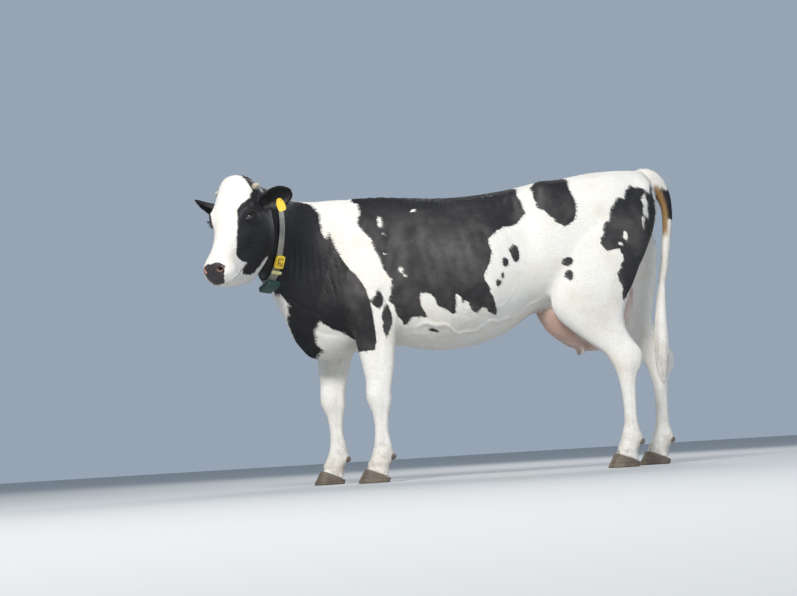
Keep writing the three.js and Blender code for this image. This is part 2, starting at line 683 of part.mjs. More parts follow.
function addHead(head, grownHead, grownBody) {
  let skull = solid(head);
  for (const [side, name] of SIDES) {
    skull = skull.subtract(solid(eyeGeometry(side, GAP)));
    add("eye_" + name, solid(eyeGeometry(side)), "eye");
    add("horn_" + name, solid(hornGeometry(side)).subtract(grownHead), "horn");
    const ear = solid(earGeometry(side));
    add("ear_" + name, ear.subtract(grownHead).subtract(grownBody), "black");
  }
  add("head", skull, "white");
}

function addWorn(body, grownHead) {
  const [plate, button] = earTagGeometry(LEFT).map(solid);
  const clearOfEar = solid(inflate(earGeometry(LEFT), 5 * GAP));
  add("ear_tag", plate.add(button).subtract(clearOfEar), "yellow");
  add("collar_strap", strap(body).subtract(grownHead), "strap");
  const clearOfStrap = solid(inflate(body, COLLAR.slack + COLLAR.thick + GAP));
  for (const [name, spec] of Object.entries(COLLAR_PADS)) {
    add(name, solid(pad(body, spec)).subtract(clearOfStrap), spec.look);
  }
}

// Adds a leg with its foot and returns the leg's solid, grown by the gap.
function addLeg(leg, kind, side, name, grownBody) {
  const step = STEPS[kind + "leg_" + name];
  const shape = legGeometry(leg, side, step);
  const { point, normal } = coronet(leg, step);
  const above = point.map((v, i) => v + normal[i] * GAP);
  const limb = solid(shape).subtract(below(above, normal));
  add(kind + "leg_" + name, limb.subtract(grownBody), "white");
  const grown = solid(inflate(shape, GAP));
  for (const inner of [true, false]) {
    const place = name + (inner ? "_inner" : "_outer");
    const claw = solid(clawGeometry(leg, side, step, inner));
    add(kind + "_claw_" + place, claw.intersect(below(point, normal)), "hoof");
    const dewclaw = solid(dewclawGeometry(leg, side, step, inner));
    add(kind + "_dewclaw_" + place, dewclaw.subtract(grown), "hoof");
  }
  return grown;
}

function build() {
  const body = bodyGeometry();
  const head = headGeometry();
  const grownBody = solid(inflate(body, GAP));
  const grownHead = solid(inflate(head, GAP));
  addBody(body, grownHead);
  addHead(head, grownHead, grownBody);
  addWorn(body, grownHead);

  let groin = grownBody;
  for (const [side, name] of SIDES) {
    addLeg(FORELEG, "fore", side, name, grownBody);
    groin = groin.add(addLeg(HINDLEG, "hind", side, name, grownBody));
  }

  let udder = solid(udderGeometry());
  for (const [x, y] of TEATS) {
    for (const side of [LEFT, RIGHT]) udder = udder.add(solid(teatGeometry(x, side * y)));
  }
  add("udder", udder.subtract(groin), "udder");

  const tail = tube(TAIL_PATH, TAIL_RADIUS, 0, SWITCH_FROM - SWITCH_GAP, 13, 8);
  const hair = tube(TAIL_PATH, TAIL_RADIUS, SWITCH_FROM, 1, 8, 8);
  add("tail", solid(tail).subtract(groin), "white");
  add("tail_switch", solid(hair), "white");
}

build();

const box = new THREE.Box3().setFromObject(group);
const centre = box.getCenter(new THREE.Vector3());
for (const mesh of group.children) mesh.position.set(-centre.x, -centre.y, -box.min.z);

export default group;
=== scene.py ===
"""The looks of a life-size standing dairy cow: one skin over its flesh, its coat, eyes, horn and what it wears."""

import math
from collections import namedtuple
from contextlib import contextmanager

import bmesh
import bpy
import numpy as np
import openvdb
from mathutils import Matrix, Vector
from mathutils.bvhtree import BVHTree


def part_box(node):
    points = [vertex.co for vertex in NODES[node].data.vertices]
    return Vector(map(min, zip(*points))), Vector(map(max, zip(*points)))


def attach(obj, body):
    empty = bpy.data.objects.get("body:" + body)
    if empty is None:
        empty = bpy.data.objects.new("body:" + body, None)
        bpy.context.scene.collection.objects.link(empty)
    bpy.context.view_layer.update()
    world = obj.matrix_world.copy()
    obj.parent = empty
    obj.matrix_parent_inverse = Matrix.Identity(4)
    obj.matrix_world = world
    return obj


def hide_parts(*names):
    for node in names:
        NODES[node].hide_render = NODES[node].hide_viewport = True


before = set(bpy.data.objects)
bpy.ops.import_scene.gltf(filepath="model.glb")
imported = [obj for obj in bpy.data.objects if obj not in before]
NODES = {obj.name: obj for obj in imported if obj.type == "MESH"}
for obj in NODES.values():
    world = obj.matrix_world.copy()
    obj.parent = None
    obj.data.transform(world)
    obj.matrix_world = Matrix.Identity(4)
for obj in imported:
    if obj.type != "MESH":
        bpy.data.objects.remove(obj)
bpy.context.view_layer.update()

# ---------------------------------------------------------------- sizes, in metres
BODY_VOXEL, HEAD_VOXEL = 0.0084, 0.0034  # cells in which the forms of the flesh are joined
BODY_BAND, HEAD_BAND = 0.045, 0.018  # how far from the flesh its distance is known
SPACE_EDGE = 6  # empty cells round a block of space
COAT_DEPTH = {
    "trunk": 0.005, "leg": 0.0022, "udder": 0.0012, "tail": 0.005, "switch": 0.026, "head": 0.0022,
    "claws": 0.0012, "dewclaws": 0.0045,
}
SWITCH_FADE = (0.02, -0.20)  # from the top of the switch, where the skin sinks to its thin core
# How far round a joint the skin is filled: a leg's grows with the height, from the least by the rest of its range.
FILLET = {
    "leg": (0.012, 0.03), "claws": 0.010, "dewclaws": 0.022, "udder": 0.02, "tail": 0.02, "face": 0.016, "ears": 0.01,
}
BLUR = {"trunk": 5, "neck": 6, "head": 4, "tail": 1, "ears": 1, "skin": 1}  # passes that even out a form
CORONET_BAND = 0.012  # how far the skin comes down over the top of a claw
CORONET_TUCK = 0.004  # and how far it goes on inside the horn
HEEL_REACH = 0.015  # how much of a claw's rear counts as its heel
CLAW_MARGIN = (4, 2)  # cells before and beside each claw in which its skin is cut
TEAT_TOP = (0.045, 0.075)  # from the udder's lowest point to where the teats run into it
TEAT_FILL = 0.005  # makes up for what smoothing takes off such thin forms
EAR_FILL = 0.0004
JOIN_GAP = 0.003  # half the strip between the head's skin and the body's, which the collar hides
ROUND_CUTS = 4  # parts into which each edge of a solid's triangles is cut
ROUND_CREASE = math.radians(42)  # edges sharper than this stay sharp
SMOOTH_PASSES = 2
RELAX = (0.5, -0.48)  # shares of the way to its neighbours' middle that each pass moves a corner, there and back
NOISE_CELLS = 32  # cells each way before the noise repeats
FAR = 9.0  # farther than anything on the model
SNAP = 1e5  # corners at the same place to a hundred-thousandth of a metre are one

# Numbers of the skin's places. The legs are 1 to 4, in the order of LEGS.
TRUNK, UDDER, TAIL, SWITCH, HEAD, NECK, CLAW = 0, 5, 6, 7, 8, 9, 10
LEGS = ("foreleg_left", "foreleg_right", "hindleg_left", "hindleg_right")
SIDES = {"left": 1, "right": -1}


# ---------------------------------------------------------------- small tools
def unit(v):
    return v / np.maximum(np.linalg.norm(v, axis=-1, keepdims=True), 1e-12)


def ramp(value, low, high):
    """0 below low, 1 above high, and a smooth rise between."""
    t = np.clip((value - low) / (high - low), 0, 1)
    return t * t * (3 - 2 * t)


def bump(value, centre, width):
    return np.exp(-(((value - centre) / width) ** 2))


def line(value, *knots):
    """A function through (place, value) knots, straight between them."""
    places, values = zip(*knots)
    return np.interp(value, places, values)


def lattice(points, size, seed):
    """Smooth noise from -1 to 1, with cells of that size."""
    cells = np.random.default_rng(seed).uniform(-1, 1, (NOISE_CELLS,) * 3)
    q = points / size
    base = np.floor(q).astype(int)
    f = q - base
    f = f * f * (3 - 2 * f)
    total = np.zeros(len(points))
    for corner in np.ndindex(2, 2, 2):
        share = np.prod(np.where(corner, f, 1 - f), axis=1)
        at = (base + corner) % NOISE_CELLS
        total += share * cells[at[:, 0], at[:, 1], at[:, 2]]
    return total


def read(items, key, kind=np.float32, width=3):
    """One property of all corners, edges or triangles of a mesh, as an array."""
    out = np.empty(len(items) * width, kind)
    items.foreach_get(key, out)
    return out.reshape(-1, width) if width > 1 else out


def node_arrays(name):
    """A CAD node's corners and triangles, with corners at one place joined."""
    mesh = NODES[name].data
    mesh.calc_loop_triangles()
    co = read(mesh.vertices, "co")
    keys = np.round(co * SNAP).astype(np.int64)
    _, first, back = np.unique(keys, axis=0, return_index=True, return_inverse=True)
    tri = back.ravel()[read(mesh.loop_triangles, "vertices", np.int32)]
    real = (tri[:, 0] != tri[:, 1]) & (tri[:, 1] != tri[:, 2]) & (tri[:, 0] != tri[:, 2])
    return co[first].astype(float), tri[real]


def centre_of(name):
    low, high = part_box(name)
    return np.array((low + high) / 2)


def box_of(names):
    """The lowest and the highest corner of some nodes together."""
    boxes = [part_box(name) for name in names]
    return np.min([b[0] for b in boxes], 0), np.max([b[1] for b in boxes], 0)


def new_object(name, co, faces, smooth=True):
    mesh = bpy.data.meshes.new(name)
    co, faces = (v.tolist() if isinstance(v, np.ndarray) else v for v in (co, faces))
    mesh.from_pydata(co, [], faces)
    if smooth:
        mesh.shade_smooth()
    mesh.update()
    return placed(name, mesh)


def placed(name, data):
    """A new object in the scene."""
    obj = bpy.data.objects.new(name, data)
    bpy.context.scene.collection.objects.link(obj)
    return obj


def mesh_points(mesh):
    return read(mesh.vertices, "co").astype(float)


def mesh_normals(mesh):
    return read(mesh.vertices, "normal").astype(float)


def set_points(mesh, co):
    mesh.vertices.foreach_set("co", co.astype(np.float32).ravel())
    mesh.update()


def set_values(mesh, name, values):
    layer = mesh.attributes.new(name, "FLOAT", "POINT")
    layer.data.foreach_set("value", values.astype(np.float32))


def get_values(mesh, name):
    return read(mesh.attributes[name].data, "value", width=1).astype(float)


def set_vectors(mesh, name, values):
    layer = mesh.attributes.new(name, "FLOAT_VECTOR", "POINT")
    layer.data.foreach_set("vector", values.astype(np.float32).ravel())


@contextmanager
def editing(obj):
    """An object's mesh in a form whose edges and faces can be worked on."""
    mesh = bmesh.new()
    mesh.from_mesh(obj.data)
    yield mesh
    mesh.to_mesh(obj.data)
    mesh.free()


def clean(obj):
    """Joins corners at one place and makes the faces look outwards."""
    with editing(obj) as mesh:
        bmesh.ops.remove_doubles(mesh, verts=mesh.verts, dist=1e-6)
        bmesh.ops.dissolve_degenerate(mesh, edges=mesh.edges, dist=1e-7)
        bmesh.ops.recalc_face_normals(mesh, faces=mesh.faces)


def finish_piece(obj, slot, paint, *nodes):
    obj.data.materials.append(paint)
    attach(obj, "root")
    if nodes:
        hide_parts(*nodes)


# ---------------------------------------------------------------- smooth surfaces from the flat-faced solids
def corner_normals(co, tri):
    """Each triangle corner's normal, shared with the neighbours that meet it without a sharp edge."""
    p = co[tri]
    face = unit(np.cross(p[:, 1] - p[:, 0], p[:, 2] - p[:, 0]))
    ahead = unit(np.roll(p, -1, 1) - p)
    behind = unit(np.roll(p, 1, 1) - p)
    angle = np.arccos(np.clip((ahead * behind).sum(2), -1, 1)).ravel()
    flat = tri.ravel()
    order = np.argsort(flat, kind="stable")
    ranked = flat[order]
    count = np.bincount(flat, minlength=len(co))
    start = np.cumsum(count) - count
    sizes = count[ranked]
    one = np.repeat(np.arange(len(ranked)), sizes)
    other = start[ranked][one] + np.arange(len(one)) - np.repeat(np.cumsum(sizes) - sizes, sizes)
    a, b = order[one], order[other]
    close = (face[a // 3] * face[b // 3]).sum(1) > math.cos(ROUND_CREASE)
    share = face[b // 3] * (angle[b] * close)[:, None]
    total = np.stack([np.bincount(a, share[:, k], len(flat)) for k in range(3)], 1)
    return unit(total).reshape(-1, 3, 3)


def rounded(co, tri):
    """The solid as finer triangles that bulge smoothly through its corners (curved PN triangles)."""
    n = corner_normals(co, tri)
    p = co[tri]
    edge = {}
    for i, j in ((0, 1), (1, 2), (2, 0), (1, 0), (2, 1), (0, 2)):
        rise = ((p[:, j] - p[:, i]) * n[:, i]).sum(1)[:, None]
        edge[i, j] = (2 * p[:, i] + p[:, j] - rise * n[:, i]) / 3
    middle = sum(edge.values()) / 6
    centre = middle + (middle - p.mean(1)) / 2
    steps = [(i, j) for i in range(ROUND_CUTS + 1) for j in range(ROUND_CUTS + 1 - i)]
    at = {key: k for k, key in enumerate(steps)}
    points = []
    for i, j in steps:
        u, v = i / ROUND_CUTS, j / ROUND_CUTS
        w = 1 - u - v
        points.append(
            w ** 3 * p[:, 0] + u ** 3 * p[:, 1] + v ** 3 * p[:, 2] + 6 * u * v * w * centre
            + 3 * w * w * u * edge[0, 1] + 3 * w * u * u * edge[1, 0]
            + 3 * w * w * v * edge[0, 2] + 3 * w * v * v * edge[2, 0]
            + 3 * u * u * v * edge[1, 2] + 3 * u * v * v * edge[2, 1]
        )
    small = [(at[i, j], at[i + 1, j], at[i, j + 1]) for i, j in steps if i + j < ROUND_CUTS]
    small += [(at[i + 1, j], at[i + 1, j + 1], at[i, j + 1]) for i, j in steps if i + j < ROUND_CUTS - 1]
    points = np.stack(points, 1)
    base = np.arange(len(tri))[:, None, None] * len(steps)
    return points.reshape(-1, 3), (base + np.array(small)[None]).reshape(-1, 3)


class Space:
    """A block of equal cells in which distances to surfaces are kept."""

    def __init__(self, low, high, voxel, band):
        self.voxel, self.band = voxel, band
        self.start = np.floor(np.array(low) / voxel).astype(int) - SPACE_EDGE
        self.shape = np.ceil(np.array(high) / voxel).astype(int) + SPACE_EDGE - self.start
        self.corner = tuple(int(v) for v in self.start)

    def distance(self, names):
        """The distance outside the union of some nodes' smooth forms, below zero inside."""
        points, tris, used = [], [], 0
        for name in names:
            co, tri = rounded(*node_arrays(name))
            points.append(co)
            tris.append(tri + used)
            used += len(co)
        grid = openvdb.FloatGrid.createLevelSetFromPolygons(
            np.concatenate(points).astype(np.float32), triangles=np.concatenate(tris).astype(np.uint32),
            transform=openvdb.createLinearTransform(voxelSize=self.voxel), halfWidth=self.band / self.voxel,
        )
        out = np.empty(tuple(self.shape), np.float32)
        grid.copyToArray(out, ijk=self.corner)
        return out

    def cells(self, points):
        at = np.round(points / self.voxel).astype(int) - self.start
        return tuple(np.clip(at, 0, self.shape - 1).T)

    def axis(self, k):
        """The places of the cells along one axis, shaped to spread over the block."""
        places = (self.start[k] + np.arange(self.shape[k])) * self.voxel
        return places.reshape([-1 if i == k else 1 for i in range(3)]).astype(np.float32)

    def surface(self, values):
        """Corners and four-sided faces of the zero surface, facing outwards."""
        grid = openvdb.FloatGrid(self.band)
        grid.transform = openvdb.createLinearTransform(voxelSize=self.voxel)
        grid.copyFromArray(values.astype(np.float32), ijk=self.corner)
        co, quads = grid.convertToQuads(0.0)
        co, quads = co.astype(float), quads.astype(np.int64)
        p = co[quads]
        flux = (p.mean(1) * np.cross(p[:, 2] - p[:, 0], p[:, 3] - p[:, 1])).sum()
        return co, quads if flux > 0 else quads[:, ::-1]


def soft_union(a, b, reach):
    """The union of two forms, with a fillet of about that reach where they meet."""
    share = np.maximum(reach - np.abs(a - b), 0) / reach
    return np.minimum(a, b) - share * share * reach / 4


def blurred(values, passes):
    for _ in range(passes):
        for axis in range(3):
            values = (np.roll(values, 1, axis) + 2 * values + np.roll(values, -1, axis)) / 4
    return values


def relaxed(co, quads, passes=SMOOTH_PASSES):
    """Evens out the corners, each towards the middle of its neighbours and almost all the way back."""
    pairs = np.concatenate([quads[:, [k, (k + 1) % 4]] for k in range(4)])
    pairs = np.unique(np.sort(pairs, 1), axis=0)
    a, b = np.concatenate([pairs, pairs[:, ::-1]]).T
    count = np.maximum(np.bincount(a, minlength=len(co)), 1)[:, None]
    for amount in RELAX * passes:
        mean = np.stack([np.bincount(a, co[b, k], len(co)) for k in range(3)], 1) / count
        co = co + amount * (mean - co)
    return co


# ---------------------------------------------------------------- the cow's own coordinates
MIDLINE = (centre_of("fore_claw_left_outer")[1] + centre_of("fore_claw_right_outer")[1]) / 2
RUMP_PLACE = 1.123  # the place along the body of the rump's end
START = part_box("trunk")[1][0] - RUMP_PLACE  # where places along the body are counted from
AXIS_LEVEL = 1.05  # height of the line that degrees round the body turn about
# The neck bends to the left. Behind the bend the body is straight, and before it a stretch turns on a circle by an
# angle in radians. Below "low" nothing bends.
BEND = {"start": -0.479, "length": 0.4, "angle": 0.9, "low": 0.62, "high": 0.88}
BEND_RADIUS = BEND["length"] / BEND["angle"]


def straightened(p):
    """Places as they would be with a straight neck, counted from START and the midline."""
    x, y, z = p[:, 0] - START, p[:, 1] - MIDLINE, p[:, 2]
    start, angle = BEND["start"], BEND["angle"]
    c, s = math.cos(angle), math.sin(angle)
    vx, vy = x - start, y + BEND_RADIUS
    turn = np.arctan2(-vx, vy)
    dx, dy = x - (start - BEND_RADIUS * s), y - (-BEND_RADIUS + BEND_RADIUS * c)
    past = turn > angle
    bent_x = np.where(past, start - BEND["length"] - (-dx * c - dy * s), start - BEND_RADIUS * turn)
    bent_y = np.where(past, -dx * s + dy * c, np.hypot(vx, vy) - BEND_RADIUS)
    share = ramp(z, BEND["low"], BEND["high"]) * (x < start)
    return np.stack([x + (bent_x - x) * share, y + (bent_y - y) * share, z], 1)


def backwards(p):
    """The direction along the body towards the tail."""
    s = straightened(p)
    turn = np.clip((BEND["start"] - s[:, 0]) / BEND_RADIUS, 0, BEND["angle"])
    turn = turn * ramp(p[:, 2], BEND["low"], BEND["high"])
    return np.stack([np.cos(turn), np.sin(turn), np.zeros(len(p))], 1)


def girth(p):
    """Place along the straightened body, and degrees round it: 0 at the spine, 90 at the left side."""
    s = straightened(p)
    return s[:, 0], np.degrees(np.arctan2(-s[:, 1], s[:, 2] - AXIS_LEVEL))


# The head's frame: x down the face, y to its left, z out of the forehead. It comes from the eyes and horns.
EYE_PLACE = np.array([0.197, 0.102, -0.058])
HORN_PLACE = np.array([0.0394, 0.107, -0.0117])
EYE_RADIUS = 0.021


def head_frame():
    eyes = (centre_of("eye_left") + centre_of("eye_right")) / 2
    horns = (centre_of("horn_left") + centre_of("horn_right")) / 2
    left = unit(centre_of("eye_left") - centre_of("eye_right"))
    down = eyes - horns
    down = unit(down - left * (down @ left))
    tilt = math.atan2(EYE_PLACE[2] - HORN_PLACE[2], EYE_PLACE[0] - HORN_PLACE[0])
    out = np.cross(down, left)
    face = down * math.cos(tilt) - out * math.sin(tilt)
    out = np.cross(face, left)
    axes = np.stack([face, left, out], 1)
    return axes, eyes - axes @ (EYE_PLACE * (1, 0, 1))


HEAD_AXES, HEAD_ORIGIN = head_frame()


def head_places(p):
    return (p - HEAD_ORIGIN) @ HEAD_AXES


def from_head(q):
    return q @ HEAD_AXES.T + HEAD_ORIGIN


def mirrored(place, sign):
    """A place or direction in the head's frame, for its left (1) or right (-1) side."""
    return place * (1, sign, 1)


# ---------------------------------------------------------------- the skin's form
def collar_plane():
    """The middle of the collar's loop and the direction along the neck, towards the head."""
    co, _ = node_arrays("collar_strap")
    middle = (co.min(0) + co.max(0)) / 2
    axis = np.linalg.eigh(np.cov((co - co.mean(0)).T))[1][:, 0]
    flip = 1 if axis @ (centre_of("head") - middle) > 0 else -1
    along = (co - middle) @ (axis * flip)
    return middle + axis * flip * (along.min() + along.max()) / 2, axis * flip


COLLAR_CENTRE, COLLAR_AXIS = collar_plane()


def coronet(name):
    """How high the upper edge of a claw's horn is at any place along the body: it falls from toe to heel."""
    co, _ = node_arrays(name)
    top = co[np.argmax(co[:, 2])]
    heel = co[co[:, 0] > co[:, 0].max() - HEEL_REACH]
    fall = (top[2] - heel[:, 2].max()) / (heel[:, 0].max() - top[0])
    return lambda x: top[2] - CORONET_BAND - fall * (x - top[0])


def tail_depth(height):
    """How far the skin lies inside the tail's form: the long hair of its end hides a thin core."""
    first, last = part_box("tail_switch")[1][2] + np.array(SWITCH_FADE)
    return COAT_DEPTH["tail"] + (COAT_DEPTH["switch"] - COAT_DEPTH["tail"]) * ramp(height, first, last)


def body_surface():
    """Corners, faces and places of the skin of all but the head."""
    claws = [name for name in NODES if "_claw_" in name]
    own = ("trunk", *LEGS, "udder", "tail", "switch")  # in the order of the skin's place numbers
    groups = {
        "trunk": ["trunk", "neck"], "switch": ["tail_switch"], "claws": claws,
        "dewclaws": [name for name in NODES if "_dewclaw_" in name],
    }
    low, high = box_of(["trunk", "neck", *LEGS, "udder", "tail", "tail_switch"])
    space = Space(low, high, BODY_VOXEL, BODY_BAND)
    fields = {key: space.distance(groups.get(key, [key])) for key in (*own, "claws", "dewclaws")}
    level = np.full(tuple(space.shape[:2]) + (1,), high[2], np.float32)
    for name in claws:
        first, last = (space.cells(np.array([corner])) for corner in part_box(name))
        block = tuple(slice(first[k][0] - more, last[k][0] + more + 1) for k, more in enumerate(CLAW_MARGIN))
        level[block] = coronet(name)(space.axis(0)[block[0]])

    height = space.axis(2)
    total = blurred(fields["trunk"], BLUR["trunk"]) + COAT_DEPTH["trunk"]
    for name in LEGS:
        reach = FILLET["leg"][0] + FILLET["leg"][1] * ramp(height, 0.45, 0.9)
        total = soft_union(total, fields[name] + COAT_DEPTH["leg"] + 0.0015 * ramp(height, 0.5, 0.8), reach)
    upper_claws = np.maximum(fields["claws"] + COAT_DEPTH["claws"], level - CORONET_TUCK - height)
    total = soft_union(total, upper_claws, FILLET["claws"])
    total = soft_union(total, fields["dewclaws"] + COAT_DEPTH["dewclaws"], FILLET["dewclaws"])
    teats = 1 - ramp(height, *(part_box("udder")[0][2] + np.array(TEAT_TOP)))
    total = soft_union(total, fields["udder"] + COAT_DEPTH["udder"] - TEAT_FILL * teats, FILLET["udder"])
    tail = blurred(np.minimum(fields["tail"], fields["switch"]), BLUR["tail"])
    total = soft_union(total, tail + tail_depth(height), FILLET["tail"])
    co, quads = space.surface(blurred(total, BLUR["skin"]))
    at = space.cells(co)
    near = [fields[key][at] for key in own]
    part = np.argmin(near, 0)
    in_claw = fields["claws"][at] < np.min(near, 0)
    part[in_claw & (co[:, 2] < level[at[0], at[1], 0] - CORONET_TUCK / 2)] = CLAW
    return relaxed(co, quads), quads, part


def head_surface():
    """Corners, faces and places of the skin of the head and of the neck under the collar."""
    low, high = box_of(["head", "ear_left", "ear_right", "collar_strap"])
    low[2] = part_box("collar_strap")[0][2] - 0.02
    space = Space(low, high, HEAD_VOXEL, HEAD_BAND)
    neck = blurred(space.distance(["neck"]), BLUR["neck"])
    head = blurred(space.distance(["head", "eye_left", "eye_right"]), BLUR["head"])
    ears = blurred(space.distance(["ear_left", "ear_right"]), BLUR["ears"]) - EAR_FILL
    total = soft_union(soft_union(neck, head, FILLET["face"]) + COAT_DEPTH["head"], ears, FILLET["ears"])
    co, quads = space.surface(blurred(total, BLUR["skin"]))
    at = space.cells(co)
    part = np.where(neck[at] < np.minimum(head[at], ears[at]), NECK, HEAD)
    return relaxed(co, quads), quads, part


def cut_at(obj, offset, keep_front):
    """Cuts an object at the collar's plane, moved along the neck, and keeps one side."""
    point = Vector(COLLAR_CENTRE + COLLAR_AXIS * offset)
    with editing(obj) as mesh:
        bmesh.ops.bisect_plane(
            mesh, geom=[*mesh.verts, *mesh.edges, *mesh.faces], dist=1e-6, plane_co=point,
            plane_no=Vector(COLLAR_AXIS), clear_inner=keep_front, clear_outer=not keep_front,
        )


# ---------------------------------------------------------------- markings
AROUND = 0.0058  # metres round the body for each degree
HEAD_AROUND = 0.0021
# Each black patch on the body is an outline of (place along, degrees round) from the left over the spine.
BODY_PATCHES = {
    "neck": [
        (-0.80, 1), (-0.745, 3), (-0.685, 8), (-0.655, 17), (-0.668, 34), (-0.648, 45), (-0.634, 33), (-0.618, 34),
        (-0.600, 46), (-0.585, 56), (-0.53, 84), (-0.46, 99), (-0.41, 116), (-0.39, 134), (-0.37, 151), (-0.45, 164),
        (-0.53, 156), (-0.68, 157), (-0.69, 166), (-0.64, 172), (-0.68, 181), (-0.82, 181), (-0.85, 170),
        (-0.90, 172), (-0.92, 205), (-1.5, 215), (-1.5, -150), (-0.90, -156), (-0.78, -138), (-0.66, -122),
        (-0.58, -96), (-0.63, -66), (-0.60, -42), (-0.70, -22),
    ],
    "saddle": [
        (-0.45, 2), (-0.42, 21), (-0.42, 42), (-0.37, 59), (-0.34, 73), (-0.32, 98), (-0.28, 114), (-0.30, 124),
        (-0.26, 143), (-0.23, 152), (-0.19, 141), (-0.12, 139), (-0.16, 124), (-0.15, 116), (-0.10, 121),
        (-0.04, 130), (0.01, 133), (0.015, 118), (0.07, 124), (0.11, 133), (0.15, 128), (0.23, 143),
        (0.20, 122), (0.15, 105), (0.19, 94), (0.20, 84), (0.19, 73), (0.28, 61), (0.36, 53), (0.40, 45),
        (0.37, 30), (0.36, 4), (0.33, -26), (0.20, -52), (0.04, -60), (-0.06, -88), (-0.20, -96), (-0.30, -70),
        (-0.41, -52), (-0.47, -22),
    ],
    "hip": [
        (0.46, -6), (0.45, 24), (0.44, 38), (0.48, 50), (0.53, 55), (0.58, 62), (0.635, 56), (0.65, 45),
        (0.63, 33), (0.60, 8), (0.54, -12),
    ],
    "rump": [
        (0.795, 56), (0.83, 47), (0.865, 39), (0.905, 34), (0.945, 27), (0.995, 25), (1.03, 25), (1.075, 20),
        (1.15, 14), (1.3, 12), (1.3, 60), (1.10, 100), (0.97, 116), (0.915, 131), (0.865, 136), (0.852, 123),
        (0.835, 108), (0.865, 94), (0.845, 85), (0.785, 87), (0.76, 79), (0.765, 64),
    ],
    "right quarter": [
        (0.62, -20), (0.78, -34), (0.98, -30), (1.2, -40), (1.15, -80), (1.02, -112), (0.90, -126), (0.80, -112),
        (0.74, -92), (0.60, -88), (0.52, -64), (0.55, -36),
    ],
    "right flank": [
        (0.22, -84), (0.34, -92), (0.40, -108), (0.34, -124), (0.20, -130), (0.10, -118), (0.13, -98),
    ],
}
# Small oval spots: place along, degrees round, half-length along and half-length round, in metres.
BODY_SPOTS = [
    (0.32, 87, 0.026, 0.056), (0.272, 93, 0.017, 0.022), (0.25, 105, 0.011, 0.018), (0.23, 111, 0.013, 0.013),
    (0.586, 96, 0.026, 0.030), (0.596, 111, 0.016, 0.026), (-0.097, 149, 0.014, 0.004),
    (0.045, 122, 0.008, 0.018), (-0.355, 124, 0.024, 0.046), (-0.315, 140, 0.026, 0.042),
    (-0.36, -118, 0.05, 0.07), (0.46, -100, 0.024, 0.03), (0.44, -74, 0.02, 0.018), (-0.48, -128, 0.02, 0.03),
]
# White flecks inside the patches, given in the same way.
WHITE_FLECKS = [
    (-0.155, 30, 0.013, 0.010), (-0.237, 96, 0.015, 0.028), (-0.222, 102, 0.009, 0.014), (-0.32, 37, 0.010, 0.032),
    (-0.309, 50, 0.006, 0.010), (-0.297, 67, 0.006, 0.010), (-0.307, 76, 0.005, 0.008), (0.885, 71, 0.0055, 0.015),
    (0.855, 80, 0.007, 0.006),
]
# A white streak below the tail's root.
STREAK = {
    "streak": [
        (1.003, 31), (1.022, 29), (1.038, 29), (1.040, 33), (1.024, 36), (1.006, 44), (0.997, 52), (0.986, 62),
        (0.982, 61), (0.991, 50), (1.004, 38),
    ],
}
# Black patches on the head, as (place down the face, degrees round from the forehead).
HEAD_PATCHES = {
    "left cheek": [
        (-0.10, -20), (-0.045, -20), (-0.012, 0), (0.008, 7), (0.026, 20), (0.048, 35), (0.062, 42), (0.114, 43),
        (0.166, 33), (0.191, 30), (0.213, 33), (0.276, 45), (0.317, 56), (0.352, 72), (0.369, 81), (0.374, 100),
        (0.367, 131), (0.346, 146), (0.388, 143), (0.411, 147), (0.395, 158), (0.372, 164), (0.33, 168),
        (0.285, 168), (0.245, 162), (0.218, 162), (0.203, 174), (0.17, 186), (0.08, 186), (0.0, 184), (-0.02, 190),
        (-0.10, 200),
    ],
    "right cheek": [
        (-0.10, -12), (-0.03, -34), (0.02, -50), (0.09, -53), (0.15, -42), (0.213, -40), (0.28, -46),
        (0.33, -62), (0.362, -86), (0.350, -120), (0.37, -142), (0.34, -158), (0.26, -163), (0.17, -158),
        (0.08, -158), (0.0, -170), (-0.02, -190), (-0.10, -200),
    ],
}
STOCKING = 0.64  # the legs are white below this height
INNER_STOCKING = 0.9  # and on their inner sides below this one
INNER_SIDE = -0.10  # how far from the midline a leg's inner side ends
WHITE_EDGE = -0.05  # metres outside the black: plain white
TAIL_BAND = (1.322, 0.075)  # middle and half-height of the black band round the tail
THIGH = {"start": 0.7, "level": 0.95, "place": 0.18, "slope": 0.16}  # where the far thigh's inside turns white
REAR = 1.0  # behind this place the middle of the rump is white
REAR_STRIP = 0.028
# The edges of the patches wander: how far, the size of the waves and the noise's seed.
BODY_WANDER = ((0.010, 0.035, 3), (0.004, 0.012, 4))
HEAD_WANDER = ((0.003, 0.016, 5), (0.002, 0.006, 6))
HEAD_MIDDLE = 0.12  # how deep in the head the line lies that its degrees turn about


def noises(p, sizes):
    """Noise of several sizes together, each given as its amount, size and seed."""
    return sum(amount * lattice(p, size, seed) for amount, size, seed in sizes)


def outline_distance(x, y, outline):
    """Metres inside a closed outline, below zero outside."""
    nearest = np.full(len(x), FAR)
    inside = np.zeros(len(x), bool)
    for (ax, ay), (bx, by) in zip(outline, outline[1:] + outline[:1]):
        ex, ey = bx - ax, by - ay
        t = np.clip(((x - ax) * ex + (y - ay) * ey) / (ex * ex + ey * ey), 0, 1)
        nearest = np.minimum(nearest, np.hypot(x - ax - t * ex, y - ay - t * ey))
        crosses = (ay > y) != (by > y)
        inside ^= crosses & (x < ax + ex * (y - ay) / np.where(ey == 0, 1, ey))
    return np.where(inside, nearest, -nearest)


def patches_distance(x, degrees, patches, around):
    """Metres inside any of some outlines, which go on over the full turn."""
    black = np.full(len(x), -FAR)
    for outline in patches.values():
        scaled = [(a, d * around) for a, d in outline]
        for turn in (0, 360, -360):
            black = np.maximum(black, outline_distance(x, (degrees + turn) * around, scaled))
    return black


